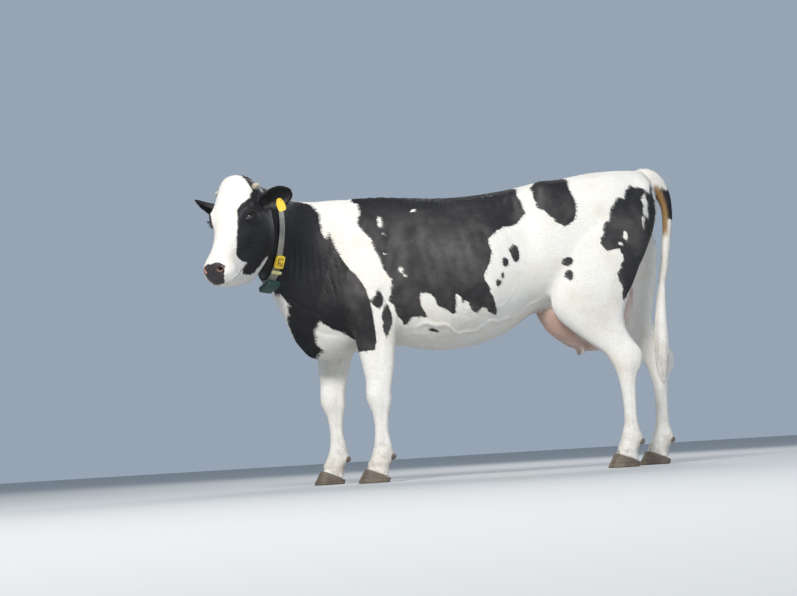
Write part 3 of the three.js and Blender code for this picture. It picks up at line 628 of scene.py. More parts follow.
def ovals_distance(x, degrees, ovals):
    """Metres inside any of some ovals on the body."""
    black = np.full(len(x), -FAR)
    for along, turn, reach, high in ovals:
        ring = np.hypot((x - along) / reach, (degrees * AROUND - turn * AROUND) / high)
        black = np.maximum(black, (1 - ring) * min(reach, high))
    return black


def on_leg(part):
    return (part > TRUNK) & (part <= len(LEGS))


def body_black(p, part):
    """Metres inside the black of the body's coat, below zero in the white."""
    x, degrees = girth(p)
    y, z = p[:, 1] - MIDLINE, p[:, 2]
    wander = noises(p, BODY_WANDER)
    ahead = x + 0.5 * wander
    black = patches_distance(ahead, degrees, BODY_PATCHES, AROUND)
    black = np.maximum(black, ovals_distance(ahead, degrees, BODY_SPOTS))
    black = np.minimum(black, -ovals_distance(x, degrees, WHITE_FLECKS))
    black = np.minimum(black, -patches_distance(x, degrees, STREAK, AROUND))
    inner = np.sign(degrees) * y > INNER_SIDE
    limb = on_leg(part) & ((z < STOCKING) | (inner & (z < INNER_STOCKING)))
    black = np.where(limb, np.minimum(black, z - STOCKING - 0.03), black)
    black = np.where(part == UDDER, WHITE_EDGE, black)
    black = np.where(part == TAIL, TAIL_BAND[1] - np.abs(z - TAIL_BAND[0]), black)
    inside_thigh = THIGH["place"] - THIGH["slope"] * (z - THIGH["level"]) - y
    far_thigh = (x > THIGH["start"]) & (y > 0) & (part != TAIL)
    black = np.where(far_thigh, np.minimum(black, -inside_thigh), black)
    strip = (np.abs(y) < REAR_STRIP) & (x > REAR) & (part != TAIL)
    black = np.where(strip, np.minimum(black, -0.02), black)
    return np.where(part == SWITCH, WHITE_EDGE, black) + wander


def head_black(p):
    q = head_places(p)
    degrees = np.degrees(np.arctan2(q[:, 1], q[:, 2] + HEAD_MIDDLE))
    return patches_distance(q[:, 0], degrees, HEAD_PATCHES, HEAD_AROUND) + noises(p, HEAD_WANDER)


# ---------------------------------------------------------------- the skin's relief
LEG_ROW = 0.012  # height of the slices in which a leg's front and back are found
LEG_ROWS = 121
# Bumps on the legs: rise, place across (0 at the front, 1 at the back) and its width, height and its width.
LEG_BUMPS = {
    "hind": [
        (-0.010, 0.66, 0.13, 0.69, 0.085),
        (0.0030, 0.45, 0.25, 0.52, 0.04),
        (-0.0030, 0.76, 0.08, 0.47, 0.07),
    ],
    "fore": [
        (0.0035, 0.12, 0.22, 0.42, 0.035),
        (-0.0028, 0.70, 0.10, 0.44, 0.05),
        (-0.0050, 0.58, 0.07, 0.66, 0.09),
    ],
}
# Veins on the belly: degrees round and two waves in them (degrees, radians per metre), half-width, rise, and where
# along the body each starts and ends.
VEINS = [
    (146, (3.5, 24), (1.5, 61), 0.011, 0.0055, (-0.20, -0.12), (0.42, 0.50)),
    (118, (10, 9), (5, 31), 0.006, 0.0016, (0.02, 0.10), (0.30, 0.40)),
]
# Ridges and furrows of the head along straight lines seen from its side: start, end, half-width, rise, and how far
# from the middle they begin.
HEAD_LINES = [
    ((0.235, -0.105), (0.345, -0.120), 0.012, 0.0024, 0.03),  # the crest below the eye
    ((0.26, -0.16), (0.19, -0.30), 0.012, -0.0028, 0.03),  # the cheek's edge
    ((0.36, -0.085), (0.28, -0.150), 0.004, 0.0016, 0.02),  # a vein of the face, in two parts
    ((0.28, -0.150), (0.25, -0.24), 0.004, 0.0016, 0.02),
]


def segment(x, z, start, end):
    """Distance from a straight line between two places, and the share along it."""
    ex, ez = end[0] - start[0], end[1] - start[1]
    t = np.clip(((x - start[0]) * ex + (z - start[1]) * ez) / (ex * ex + ez * ez), 0, 1)
    return np.hypot(x - start[0] - t * ex, z - start[1] - t * ez), t


def groove(x, z, start, end, width):
    """1 on a straight line between two places, falling to 0 beside it, and the share along it."""
    off, t = segment(x, z, start, end)
    return np.exp(-((off / width) ** 2)), t


def leg_shares(p, chosen):
    """For the corners of one leg: 0 at its front and 1 at its back, at each height."""
    x = p[chosen, 0]
    row = np.clip((p[chosen, 2] / LEG_ROW).astype(int), 0, LEG_ROWS - 1)
    front, back = np.full(LEG_ROWS, FAR), np.full(LEG_ROWS, -FAR)
    np.minimum.at(front, row, x)
    np.maximum.at(back, row, x)
    return (x - front[row]) / np.maximum(back[row] - front[row], 0.01)


def between(x, rise, fall):
    """A smooth rise over one stretch and a smooth fall over a later one."""
    return ramp(x, *rise) * (1 - ramp(x, *fall))


def body_relief(p, part):
    """How far each corner of the body's skin rises."""
    s = straightened(p)
    x, z = s[:, 0], s[:, 2]
    degrees = np.degrees(np.arctan2(-s[:, 1], z - AXIS_LEVEL))
    side = np.abs(degrees)
    trunk = (part == TRUNK).astype(float)
    rise = noises(p, ((0.0012, 0.07, 7), (0.0005, 0.022, 8)))

    # folds of the bent neck, deepest on the left
    lean = x + 0.14 * (z - 1.1) + 0.012 * lattice(p, 0.10, 9)
    wave = 1 - np.abs(np.sin(math.pi * lean / 0.043))
    fold = bump(degrees, 84, 42) * between(x, (-0.99, -0.93), (-0.66, -0.50))
    fold = fold * (0.55 + 0.45 * lattice(p, 0.06, 10))
    rise -= 0.0085 * np.clip(wave, 0, 1) ** 2 * fold
    small = 1 - np.abs(np.sin(math.pi * (lean + 0.2 * (z - 1)) / 0.019))
    rise -= 0.0022 * small ** 2 * bump(degrees, 90, 50) * (1 - ramp(x, -0.64, -0.48))

    # dewlap and brisket: folds that run down and back
    drape = 1 - np.abs(np.sin(math.pi * (side + 40 * (x + 0.7)) / 11))
    rise -= 0.0035 * drape ** 2 * bump(side, 160, 16) * between(x, (-0.98, -0.90), (-0.62, -0.52))

    # the spine and the back edge of the shoulder blade, and the crease above the elbow
    ridge, t = groove(x, z, (-0.36, 1.33), (-0.52, 0.98), 0.020)
    rise += trunk * 0.0045 * ridge * ramp(t, 0, 0.15)
    rise -= trunk * 0.0040 * groove(x, z, (-0.24, 1.33), (-0.33, 0.98), 0.022)[0] * bump(side, 70, 45)
    rise -= trunk * 0.006 * groove(x, z, (-0.34, 0.92), (-0.29, 0.80), 0.020)[0]

    # ribs
    rib = np.cos(2 * math.pi * (x + 0.22 * (z - 1)) / 0.062)
    rise += trunk * 0.0008 * rib * bump(side, 92, 34) * between(x, (-0.20, -0.08), (0.26, 0.38))

    # the knobs of the spine and the ends of the short ribs
    knob = np.cos(2 * math.pi * x / 0.058)
    rise += trunk * 0.0022 * (knob + 0.6) * bump(s[:, 1], 0, 0.018) * (z > 1.3) * ramp(x, -0.42, -0.32)
    short = np.cos(2 * math.pi * x / 0.046) * bump(side, 34, 9)
    rise += trunk * 0.0016 * short * between(x, (0.16, 0.22), (0.40, 0.46))

    for level, (wide, turns), (narrow, ripples), half, high, first, last in VEINS:
        path = level + wide * np.sin(turns * x) + narrow * np.sin(ripples * x)
        rise += trunk * high * bump((side - path) * AROUND, 0, half) * between(x, first, last)

    # udder: veins and a cleft between its halves
    udder = part == UDDER
    web = 1 - np.abs(lattice(p, 0.045, 11))
    rise += udder * 0.0022 * np.clip(web - 0.86, 0, 1) / 0.14
    rise -= udder * 0.007 * bump(s[:, 1], 0, 0.010) * (1 - ramp(z, 0.72, 0.86))

    for k, name in enumerate(LEGS, 1):
        chosen = (part == k) & (z < 1.0)
        share = leg_shares(p, chosen)
        h = z[chosen]
        dent = -0.0030 * bump(share, 0.64, 0.09) * between(h, (0.14, 0.20), (0.36, 0.44))  # before the sinews
        dent += 0.0022 * bump(h, 0.094, 0.012)
        dent += 0.0012 * np.sin(2 * math.pi * h / 0.011) * bump(h, 0.128, 0.016) * bump(share, 0.2, 0.4)
        for high, across, wide, level, tall in LEG_BUMPS[name[:4]]:
            dent += high * bump(share, across, wide) * bump(h, level, tall)
        if "fore" in name:
            dent += 0.0010 * np.sin(2 * math.pi * h / 0.013) * bump(h, 0.40, 0.03) * bump(share, 0.1, 0.2)
        rise[chosen] += dent
    return rise


# Eyes: a slit across the ball that rises a little to the ear, with a lid above and below.
EYE_OUT = unit(np.array([0.12, 0.86, 0.46]))
EYE_ALONG = np.array([0.85, 0, 0.53])
EYE_UP = np.array([-0.79, 0, 0.61])
SLIT = {"half": 0.0195, "above": 0.0104, "below": 0.0080, "lid": 0.0026}
SOCKET = 0.0045  # how deep the skin lies behind the ball's surface in the opening
# Folds of the lids: rise, distance from the slit, width, and the lid (1 above, -1 below, 0 both).
LID_FOLDS = [
    (0.0012, 0.0022, 0.0022, 0), (-0.0026, 0.0082, 0.0017, 1), (-0.0018, 0.0070, 0.0015, -1),
    (0.0026, 0.0128, 0.004, 1), (-0.0014, 0.0120, 0.0014, -1),
]
NOSTRIL = {
    "at": np.array([0.484, 0.043, -0.080]), "out": unit(np.array([0.60, 0.62, 0.50])),
    "along": np.array([-0.62, 0.50, 0.05]), "half": (0.0195, 0.0115), "deep": 0.020, "wing": 0.0028,
}
# The line between the lips: places down the face, and the level at each.
LIPS = ((0.36, -0.196), (0.405, -0.184), (0.45, -0.170), (0.49, -0.158), (0.53, -0.150))


def eye_axes(sign):
    """The directions along the slit towards the nose, up and out of an eye, in the head's frame."""
    out = mirrored(EYE_OUT, sign)
    along = unit(EYE_ALONG - out * (EYE_ALONG @ out))
    up = np.cross(out, along)
    return along, up if up @ EYE_UP > 0 else -up, out


def eye_places(q, sign):
    """Places along the slit, above it and outwards from the middle of an eye."""
    offset = q - mirrored(EYE_PLACE, sign)
    return [offset @ axis for axis in eye_axes(sign)]


def slit_edge(a, b):
    """Metres outside the opening between the lids, below zero inside it."""
    arch = np.clip(1 - (a / SLIT["half"]) ** 2, -3, 1)
    return np.where(b > 0, b - SLIT["above"] * arch, -b - SLIT["below"] * arch)


def nostril_ring(q, sign):
    """The way out of a nostril, and how far out each place is: 1 at the nostril's rim."""
    offset = q - mirrored(NOSTRIL["at"], sign)
    out, along = mirrored(NOSTRIL["out"], sign), mirrored(NOSTRIL["along"], sign)
    along = unit(along - out * (along @ out))
    a, b, n = offset @ along, offset @ np.cross(out, along) * sign, offset @ out
    long, short = NOSTRIL["half"]
    wide = short * (1 - 0.35 * np.clip(a / long, -1, 1))
    bend = b - 0.25 * (a * a) / long
    return out, np.where(np.abs(n) < 0.03, np.sqrt((a / long) ** 2 + (bend / wide) ** 2), FAR)


def lip_level(x):
    """How high the line between the lips runs, at each place down the face."""
    return line(x, *LIPS)


def mouth_crease(q):
    """1 in the crease between the lips, 0 away from it."""
    return bump(q[:, 2], lip_level(q[:, 0]), 0.0036) * ramp(q[:, 0], 0.375, 0.400)


def shaped_eye(q, sign):
    """Places near one eye, moved out to its lids and in behind the ball in its opening."""
    a, b, n = eye_places(q, sign)
    reach = np.sqrt(a * a + b * b + n * n)
    edge = slit_edge(a, b)
    lid = EYE_RADIUS + SLIT["lid"] * (1 - ramp(edge, 0.004, 0.020))
    for high, off, wide, where in LID_FOLDS:
        lid += high * bump(edge, off, wide) * (b * where > 0 if where else 1)
    outside = np.maximum(reach, lid) + 0.0005 * np.sin(edge * 2100) * bump(edge, 0.013, 0.006)
    inside = EYE_RADIUS - SOCKET
    target = inside + (outside - inside) * ramp(edge, -0.0008, 0.0010)
    new = reach + (target - reach) * (1 - ramp(reach, 0.028, 0.050))
    place = mirrored(EYE_PLACE, sign)
    moved = place + (q - place) * (new / np.maximum(reach, 1e-6))[:, None]
    return np.where(((reach < 0.055) & (n > -0.006))[:, None], moved, q)


def head_relief(q):
    """New places, in the head's frame, for the corners of the head's skin."""
    for sign in SIDES.values():
        q = shaped_eye(q, sign)
        out, ring = nostril_ring(q, sign)
        depth = -NOSTRIL["deep"] * (1 - ramp(ring, 0.45, 1.02)) + NOSTRIL["wing"] * bump(ring, 1.28, 0.28)
        q = q + out * depth[:, None]

    # the lips, the chin and the corner of the mouth
    x, y, z = q.T
    outward = unit(np.stack([np.where(x > 0.47, (x - 0.47) * 2, 0), y, z + 0.14], 1))
    lip = lip_level(x)
    front = ramp(x, 0.385, 0.410)
    rise = -0.0065 * bump(z, lip, 0.0028) * front
    rise += 0.0020 * bump(z, lip + 0.008, 0.006) * front + 0.0022 * bump(z, lip - 0.008, 0.006) * front
    rise -= 0.0040 * (1 - ramp(z, lip - 0.024, lip - 0.002)) * ramp(x, 0.485, 0.515)
    rise -= 0.0022 * groove(x, z, LIPS[1], (0.385, -0.205), 0.0035)[0] * (np.abs(y) > 0.03)

    # the bony rim round the eyes
    for sign in SIDES.values():
        a, b, n = eye_places(q, sign)
        ring = bump(np.sqrt(a * a + b * b), 0.043, 0.014)
        rise += 0.0050 * ring * (n > -0.03) * ramp(b - 0.4 * a, -0.045, 0.01)

    for start, end, width, high, off in HEAD_LINES:
        rise += high * groove(x, z, start, end, width)[0] * (np.abs(y) > off)

    # wrinkles over the nose
    fold = np.sin(2 * math.pi * (x + 0.3 * np.abs(y)) / 0.012) * bump(x, 0.462, 0.016) * bump(z, -0.045, 0.03)
    rise += 0.0006 * fold * (np.abs(y) < 0.05) + noises(q, ((0.0007, 0.03, 12), (0.0003, 0.009, 13)))
    eye = np.minimum(*[np.linalg.norm(q - mirrored(EYE_PLACE, sign), axis=1) for sign in SIDES.values()])
    still = ramp(eye, 0.028, 0.045) * (np.abs(y) <= 0.125)
    return q + outward * (rise * still)[:, None]


def nose_pad(q):
    """1 on the bare pad between and round the nostrils, 0 on the hair."""
    x, y, z = q[:, 0], np.abs(q[:, 1]), q[:, 2]
    stray = noises(q, ((0.0035, 0.011, 14), (0.0015, 0.004, 15)))
    top = 0.470 + 0.10 * np.clip(y - 0.036, 0, 1) + stray
    low = -0.147 + stray
    side = 0.061 + 0.50 * np.clip(z + 0.085, -1, 0) + stray
    inside = np.minimum(np.minimum((x - top) / 0.005, (z - low) / 0.005), (side - y) / 0.006)
    return ramp(inside, -0.5, 0.6)


# ---------------------------------------------------------------- making the skin
# Faces this near an eye and a nostril are cut finer, once for each pair.
FINE_REACH = ((0.046, 0.030), (0.032, 0.022))


def refined(obj, near_eye, near_nostril):
    """Cuts the faces near the eyes and nostrils into four."""
    with editing(obj) as mesh:
        q = head_places(np.array([v.co for v in mesh.verts]))
        near = np.zeros(len(q), bool)
        for sign in SIDES.values():
            near |= np.linalg.norm(q - mirrored(EYE_PLACE, sign), axis=1) < near_eye
            near |= np.linalg.norm(q - mirrored(NOSTRIL["at"], sign), axis=1) < near_nostril
        edges = [e for e in mesh.edges if near[e.verts[0].index] and near[e.verts[1].index]]
        bmesh.ops.subdivide_edges(mesh, edges=edges, cuts=1, use_grid_fill=True, smooth=0.0)


def bridged(head, body):
    """Joins the head's skin and the body's into one, across the collar's hidden strip."""
    bpy.context.view_layer.update()
    with bpy.context.temp_override(active_object=body, selected_editable_objects=[body, head]):
        bpy.ops.object.join()
    with editing(body) as mesh:
        bmesh.ops.bridge_loops(mesh, edges=[e for e in mesh.edges if e.is_boundary])
        bmesh.ops.triangulate(mesh, faces=[f for f in mesh.faces if len(f.verts) > 4])
        bmesh.ops.recalc_face_normals(mesh, faces=mesh.faces)
    body.data.shade_smooth()
    return body


def build_skin():
    co, quads, part = body_surface()
    body = new_object("skin", co, quads)
    set_points(body.data, co + mesh_normals(body.data) * body_relief(co, part)[:, None])
    set_values(body.data, "part", part.astype(float))
    co, quads, part = head_surface()
    head = new_object("skin_head", co, quads)
    set_values(head.data, "part", part.astype(float))
    for reaches in FINE_REACH:
        refined(head, *reaches)
    set_points(head.data, from_head(head_relief(head_places(mesh_points(head.data)))))
    cut_at(body, -JOIN_GAP, False)
    cut_at(head, JOIN_GAP, True)
    return bridged(head, body)


def black_at(p, part):
    """Metres inside the black coat at each place of the skin."""
    out = np.zeros(len(p))
    head = part == HEAD
    out[~head] = body_black(p[~head], part[~head])
    out[head] = head_black(p[head])
    return out


def ear_places(q):
    """1 on an ear and 0 on the head beside it."""
    return ramp(np.abs(q[:, 1]), 0.105, 0.125) * (q[:, 0] < 0.13)


def ear_facing(n):
    """How far each place of an ear looks forwards, as its hollow does."""
    normal = n @ HEAD_AXES
    return normal[:, 0] * 0.75 + normal[:, 2] * 0.35


def paint_skin(skin):
    """Stores where the skin is black, bare, wet, hollow, pink, tan, soiled or painted with shade in the mouth's
    crease, where its black is dusty and painted with sheen, and how its hair lies.
    """
    mesh = skin.data
    p, n = mesh_points(mesh), mesh_normals(mesh)
    part = np.round(get_values(mesh, "part"))
    q = head_places(p)
    head = part == HEAD
    x, degrees = girth(p)
    side, height = np.abs(degrees), p[:, 2]
    lidded, hollow = np.zeros(len(p)), np.zeros(len(p))
    for sign in SIDES.values():
        a, b, out = eye_places(q, sign)
        reach = np.sqrt(a * a + b * b + out * out)
        lidded = np.maximum(lidded, (1 - ramp(slit_edge(a, b), 0.0015, 0.0045)) * (reach < 0.035) * head)
        hollow = np.maximum(hollow, (1 - ramp(nostril_ring(q, sign)[1], 0.55, 1.15)) * head)
    below = ramp(side, 158, 172) * ramp(x, 0.30, 0.48) * (part == TRUNK) * (height < 0.95)
    rear = ramp(x, 0.93, 1.0) * (1 - ramp(np.abs(p[:, 1] - MIDLINE), 0.03, 0.075))
    rear = rear * ~np.isin(part, (TAIL, SWITCH))
    tail_under = (part == TAIL) * ramp(-n[:, 0], -0.15, 0.35) * between(height, (1.14, 1.20), (1.40, 1.44))
    brown = rear * between(height, (1.24, 1.30), (1.37, 1.42))
    dirt = (1 - ramp(height, 0.05, 0.35)) * 0.45 + 0.12 * (1 - ramp(height, 0.4, 0.9))
    dirt = np.where(part == SWITCH, 0.35, dirt)
    # The black coat is lighter on the sides behind the neck's front and darker along the spine: partly dust, partly
    # painted sheen. The head, the neck under the collar and the tail get little of it, so their black stays dark.
    dust = (0.15 + 0.85 * ramp(side, 18, 50)) * ramp(x + 0.80 - 0.002 * (side - 10), -0.04, 0.08)
    values = {
        "black": black_at(p, part),
        "pad": np.where(head, nose_pad(q), 0),
        "rim": lidded,
        "hollow": hollow,
        "inner_ear": ear_places(q) * ramp(ear_facing(n), 0.1, 0.45) * head,
        "pink": np.clip((part == UDDER) + 0.6 * below + 0.7 * rear * (height < 1.3), 0, 1),
        "tan": np.clip(tail_under + brown, 0, 1),
        # on the head: painted shade in the crease between the lips; elsewhere dirt, most of it low on the legs
        "grime": np.where(head, mouth_crease(q) * 1.5, dirt * (part != UDDER)),
        "dust": np.where(head | (part == NECK) | (part == TAIL), 0.06, dust),
    }
    for name, amount in values.items():
        set_values(mesh, name, amount)
    set_vectors(mesh, "lie", coat_lie(p, n, part))


def coat_lie(p, n, part):
    """The direction in which the hair lies, along the skin."""
    down = np.array([0.0, 0.0, -1.0])
    x, degrees = girth(p)
    side = np.abs(degrees)
    back = backwards(p)
    sink = 0.35 + 0.5 * between(side, (60, 110), (150, 176))
    sink = sink + 0.9 * ramp(x, 0.62, 0.95) * ramp(side, 20, 60)
    flow = back + down * sink[:, None]
    share = (on_leg(part) * (1 - ramp(p[:, 2], 0.62, 0.95)))[:, None]
    flow = flow * (1 - share) + share * (down * 1.0 + back * 0.15)
    flow = np.where(np.isin(part, (TAIL, SWITCH))[:, None], down, flow)
    flow = np.where((part == UDDER)[:, None], down + back * 0.4, flow)

    # the head: from a whorl on the forehead down the face, back over the cheeks and out along the ears
    q = head_places(p)
    qx, qy, qz = q.T
    up = 1 - ramp(qx, 0.10, 0.19)
    forehead = np.stack([0.25 - 1.15 * up, 0.75 * np.tanh(qy / 0.05), -0.75 * np.abs(np.tanh(qy / 0.07))], 1)
    front = ((1 - ramp(np.abs(qy), 0.05, 0.09)) * ramp(qz, -0.12, -0.03))[:, None]
    cheek = np.array([-0.75, 0.0, -0.55])
    local = forehead * front + cheek * (1 - front)
    muzzle = ramp(qx, 0.30, 0.42)[:, None]
    lips = np.stack([0 * qx, 0.3 * np.sign(qy), -0.8 + 0 * qx], 1) + np.array([0.2, 0.0, 0.0])
    local = local * (1 - muzzle) + muzzle * lips
    on = ear_places(q)[:, None]
    tips = np.stack([0.1 + 0 * qy, np.sign(qy), 0.1 + 0 * qy], 1)
    local = local * (1 - on) + tips * on
    flow = np.where((part == HEAD)[:, None], local @ HEAD_AXES.T, flow)

    flow = flow + 0.22 * np.stack([lattice(p, 0.11, 20 + k) for k in range(3)], 1)
    return unit(flow - n * (flow * n).sum(1)[:, None])


# ---------------------------------------------------------------- materials
TONES = {
    "white": (0.87, 0.845, 0.79), "cream": (0.76, 0.68, 0.56), "black": (0.013, 0.0125, 0.015),
    # the lighter black: partly dust, partly painted sheen
    "dusty sheened black": (0.070, 0.064, 0.062), "pink": (0.50, 0.315, 0.255), "tan": (0.34, 0.205, 0.085),
    # soil is dirt, and also painted shade in the mouth's crease
    "soil": (0.33, 0.26, 0.18), "pad": (0.034, 0.029, 0.031), "pad spots": (0.085, 0.055, 0.052),
    # nostril inside: painted shade deep in the nostrils
    "pad rim": (0.42, 0.29, 0.25), "nostril": (0.42, 0.21, 0.18), "nostril inside shade": (0.045, 0.010, 0.009),
    # lid: the bare lids' grey, partly their own colour, partly painted sheen
    "ear": (0.022, 0.018, 0.018), "ear spots": (0.060, 0.040, 0.036), "lid": (0.050, 0.042, 0.040),
    "iris": (0.020, 0.009, 0.004), "iris fibres": (0.085, 0.040, 0.016), "iris rim": (0.006, 0.004, 0.004),
    "eye white": (0.20, 0.145, 0.115), "eye veins": (0.13, 0.065, 0.05), "pupil": (0.004, 0.006, 0.010),
    "horn": (0.50, 0.43, 0.33), "horn cloud": (0.30, 0.235, 0.17), "horn tip": (0.66, 0.61, 0.52),
    "horn cracks": (0.13, 0.095, 0.07), "claw": (0.115, 0.088, 0.066), "claw cloud": (0.205, 0.160, 0.115),
    "claw rings": (0.055, 0.043, 0.035), "claw top": (0.36, 0.28, 0.21), "claw sole": (0.20, 0.165, 0.12),
    # the webbing's tones, its soil too, are partly its worn colour and partly darkened as painted shade
    "shaded webbing": (0.40, 0.39, 0.34), "webbing soil": (0.26, 0.25, 0.21), "weave": (0.10, 0.10, 0.09),
    "webbing edge": (0.15, 0.145, 0.13), "thread": (0.44, 0.43, 0.39), "dirt": (0.13, 0.10, 0.065),
    "floor": (0.50, 0.51, 0.51),
}
# Plastics: their colour new and worn.
PLASTICS = {
    "yellow_plastic": ((0.80, 0.56, 0.03), (0.62, 0.44, 0.04)),
    "cream_plastic": ((0.66, 0.60, 0.28), (0.50, 0.45, 0.22)),
    "green_plastic": ((0.006, 0.048, 0.038), (0.012, 0.042, 0.034)),
    "digit_plastic": ((0.16, 0.022, 0.014), (0.10, 0.02, 0.015)),
}


class Paint:
    """A node material, with short ways to add nodes to it."""

    def __init__(self, name):
        self.made = bpy.data.materials.new(name)
        self.made.use_nodes = True
        self.tree = self.made.node_tree
        self.shader = self.tree.nodes["Principled BSDF"]

    def put(self, socket, value):
        value = TONES.get(value, value) if isinstance(value, str) else value
        if isinstance(value, bpy.types.NodeSocket):
            self.tree.links.new(value, socket)
        elif isinstance(value, tuple) and len(value) == 3 and socket.type == "RGBA":
            socket.default_value = (*value, 1)
        else:
            socket.default_value = value

    def node(self, kind, out=0, settings=(), **inputs):
        made = self.tree.nodes.new(kind)
        for key, value in settings:
            setattr(made, key, value)
        for key, value in inputs.items():
            self.put(made.inputs[key.replace("_", " ")], value)
        return made.outputs[out]

    def math(self, operation, a, b=0.0, c=0.0):
        made = self.tree.nodes.new("ShaderNodeMath")
        made.operation = operation
        for k, value in enumerate((a, b, c)):
            self.put(made.inputs[k], value)
        return made.outputs[0]

    def times(self, a, b):
        return self.math("MULTIPLY", a, b)

    def plus(self, a, b):
        return self.math("ADD", a, b)

    def fit(self, a, scale, shift):
        """a times the scale, plus the shift."""
        return self.math("MULTIPLY_ADD", a, scale, shift)

    def value(self, name, out="Fac"):
        """A value that the mesh carries at its corners."""
        return self.node("ShaderNodeAttribute", out, [("attribute_name", name)])

    def noise(self, scale, detail=2.0, rough=0.5, place=None):
        return self.node(
            "ShaderNodeTexNoise", Vector=place or self.place(), Scale=scale, Detail=detail, Roughness=rough,
            Distortion=0.0,
        )

    def place(self):
        return self.node("ShaderNodeTexCoord", out="Object")

    def streaks(self, scale, detail, rough):
        """Noise that is stretched along the axes."""
        return self.noise(1.0, detail, rough, self.node("ShaderNodeMapping", Vector=self.place(), Scale=scale))

    def span(self, value, low, high, to_low=0.0, to_high=1.0):
        """Takes a value from one range to another, smoothly and not beyond it."""
        made = self.tree.nodes.new("ShaderNodeMapRange")
        made.interpolation_type = "SMOOTHSTEP"
        amounts = {"Value": value, "From Min": low, "From Max": high, "To Min": to_low, "To Max": to_high}
        for key, amount in amounts.items():
            self.put(made.inputs[key], amount)
        return made.outputs[0]

    def layers(self, colour, *coats):
        """A colour under others. Each is given by its tone, where it lies, and what range of that to span."""
        for tone, where, *reach in coats:
            made = self.tree.nodes.new("ShaderNodeMix")
            made.data_type = "RGBA"
            self.put(made.inputs["Factor"], self.span(where, *reach) if reach else where)
            self.put(made.inputs[6], colour)
            self.put(made.inputs[7], tone)
            colour = made.outputs[2]
        return colour

    def lit(self, colour, amount):
        """A colour made lighter or darker."""
        return self.node("ShaderNodeHueSaturation", Color=colour, Value=amount)

    def bumped(self, height, distance, strength, under=None):
        extra = {"Normal": under} if under is not None else {}
        return self.node("ShaderNodeBump", Height=height, Distance=distance, Strength=strength, **extra)

    def shade(self, **inputs):
        for key, value in inputs.items():
            self.put(self.shader.inputs[key.replace("_", " ")], value)
        return self.made


def hair_strands(paint, coarse, fine):
    """Fine streaks that follow the lie of the coat: three sets, each used where the hair lies its way."""
    parts = paint.tree.nodes.new("ShaderNodeSeparateXYZ")
    paint.put(parts.inputs[0], paint.value("lie", "Vector"))
    total, weights = None, None
    for k in range(3):
        scale = [fine] * 3
        scale[k] = coarse
        streaks = paint.streaks(tuple(scale), 1.0, 0.5)
        weight = paint.math("POWER", paint.math("ABSOLUTE", parts.outputs[k]), 6.0)
        part = paint.times(streaks, weight)
        total = part if total is None else paint.plus(total, part)
        weights = weight if weights is None else paint.plus(weights, weight)
    return paint.math("DIVIDE", total, weights)


def coat_colours(paint, strands):
    """The coat's colour: white or black by its marking, with warm and tan places, soil that also paints shade in the
    mouth's crease, and black lightened by dust and painted sheen.
    """
    dark = paint.span(paint.plus(paint.value("black"), paint.fit(strands, 0.010, -0.005)), -0.0022, 0.0022)
    cloud = paint.noise(7.0, 3.0, 0.6)
    speck = paint.noise(26.0, 4.0, 0.6)
    # soil: dirt, and painted shade in the mouth's crease
    soil = paint.times(paint.value("grime"), paint.span(speck, 0.30, 0.80))
    bare = paint.times(paint.value("pink"), paint.span(cloud, 0.3, 0.6, 0.55, 0.95))
    white = paint.layers("white", ("cream", cloud, 0.45, 0.75, 0.0, 0.5), ("soil", soil), ("pink", bare))
    # the black is lightened where dust and painted sheen lie
    dust = paint.times(paint.value("dust"), paint.span(cloud, 0.36, 0.68, 0.15, 1.0))
    dust = paint.times(dust, paint.span(speck, 0.30, 0.70, 0.7, 1.0))
    black = paint.layers("black", ("dusty sheened black", dust))
    return paint.layers(white, (black, dark), ("tan", paint.value("tan"))), dark


def skin_paint():
    paint = Paint("coat_skin")
    strands = hair_strands(paint, 57.2, 520.0)
    colour, dark = coat_colours(paint, strands)
    colour = paint.lit(colour, paint.span(strands, 0.30, 0.70, 0.86, 1.06))

    # the bare pad of the nose with its nostrils, painted with shade deep inside them, the inside of the ears and the
    # lids, whose lighter grey is partly painted sheen
    pores = paint.noise(330.0, 3.0, 0.6)
    pebbles = paint.node("ShaderNodeTexVoronoi", Vector=paint.place(), Scale=340.0)
    mottle = paint.noise(60.0, 3.0, 0.6)
    bare, hollow, rim = paint.value("pad"), paint.value("hollow"), paint.value("rim")
    pad = paint.layers(
        "pad", ("pad spots", mottle, 0.56, 0.72), ("pad rim", bare, 0.80, 0.40, 0.0, 0.7),
        ("nostril", hollow, 0.02, 0.35), ("nostril inside shade", hollow, 0.45, 0.95),
    )
    ear = paint.layers("ear", ("ear spots", mottle, 0.4, 0.6))
    colour = paint.layers(colour, (pad, bare, 0.05, 0.35), (ear, paint.value("inner_ear")), ("lid", rim))

    bald = paint.math("MAXIMUM", bare, paint.math("MAXIMUM", paint.value("pink"), rim))
    rough = paint.fit(strands, 0.16, paint.math("SUBTRACT", paint.fit(dark, -0.14, 0.64), 0.08))
    rough = paint.fit(paint.math("MAXIMUM", bare, rim), -0.30, rough)
    hair = paint.times(strands, paint.fit(bald, -0.85, 1.0))
    normal = paint.bumped(paint.times(paint.fit(pebbles, -1.0, pores), bald), 0.0012, 0.7)
    normal = paint.bumped(hair, 0.0012, 0.7, normal)
    return paint.shade(
        Base_Color=colour, Roughness=rough, Normal=normal, Specular_IOR_Level=0.35,
        Sheen_Weight=0.06, Sheen_Roughness=0.5, Subsurface_Weight=0.0,
    )


# ---------------------------------------------------------------- eyes
EYE_RINGS, EYE_AROUND = 36, 56
CORNEA = {"rise": 0.0011, "angle": 0.55}  # the clear bulge over the iris: its height, and its half-angle in radians
IRIS = 0.0150  # radius at which the iris gives way to the white
PUPIL = (0.0080, 0.0043)  # half-length along the slit, and half-height


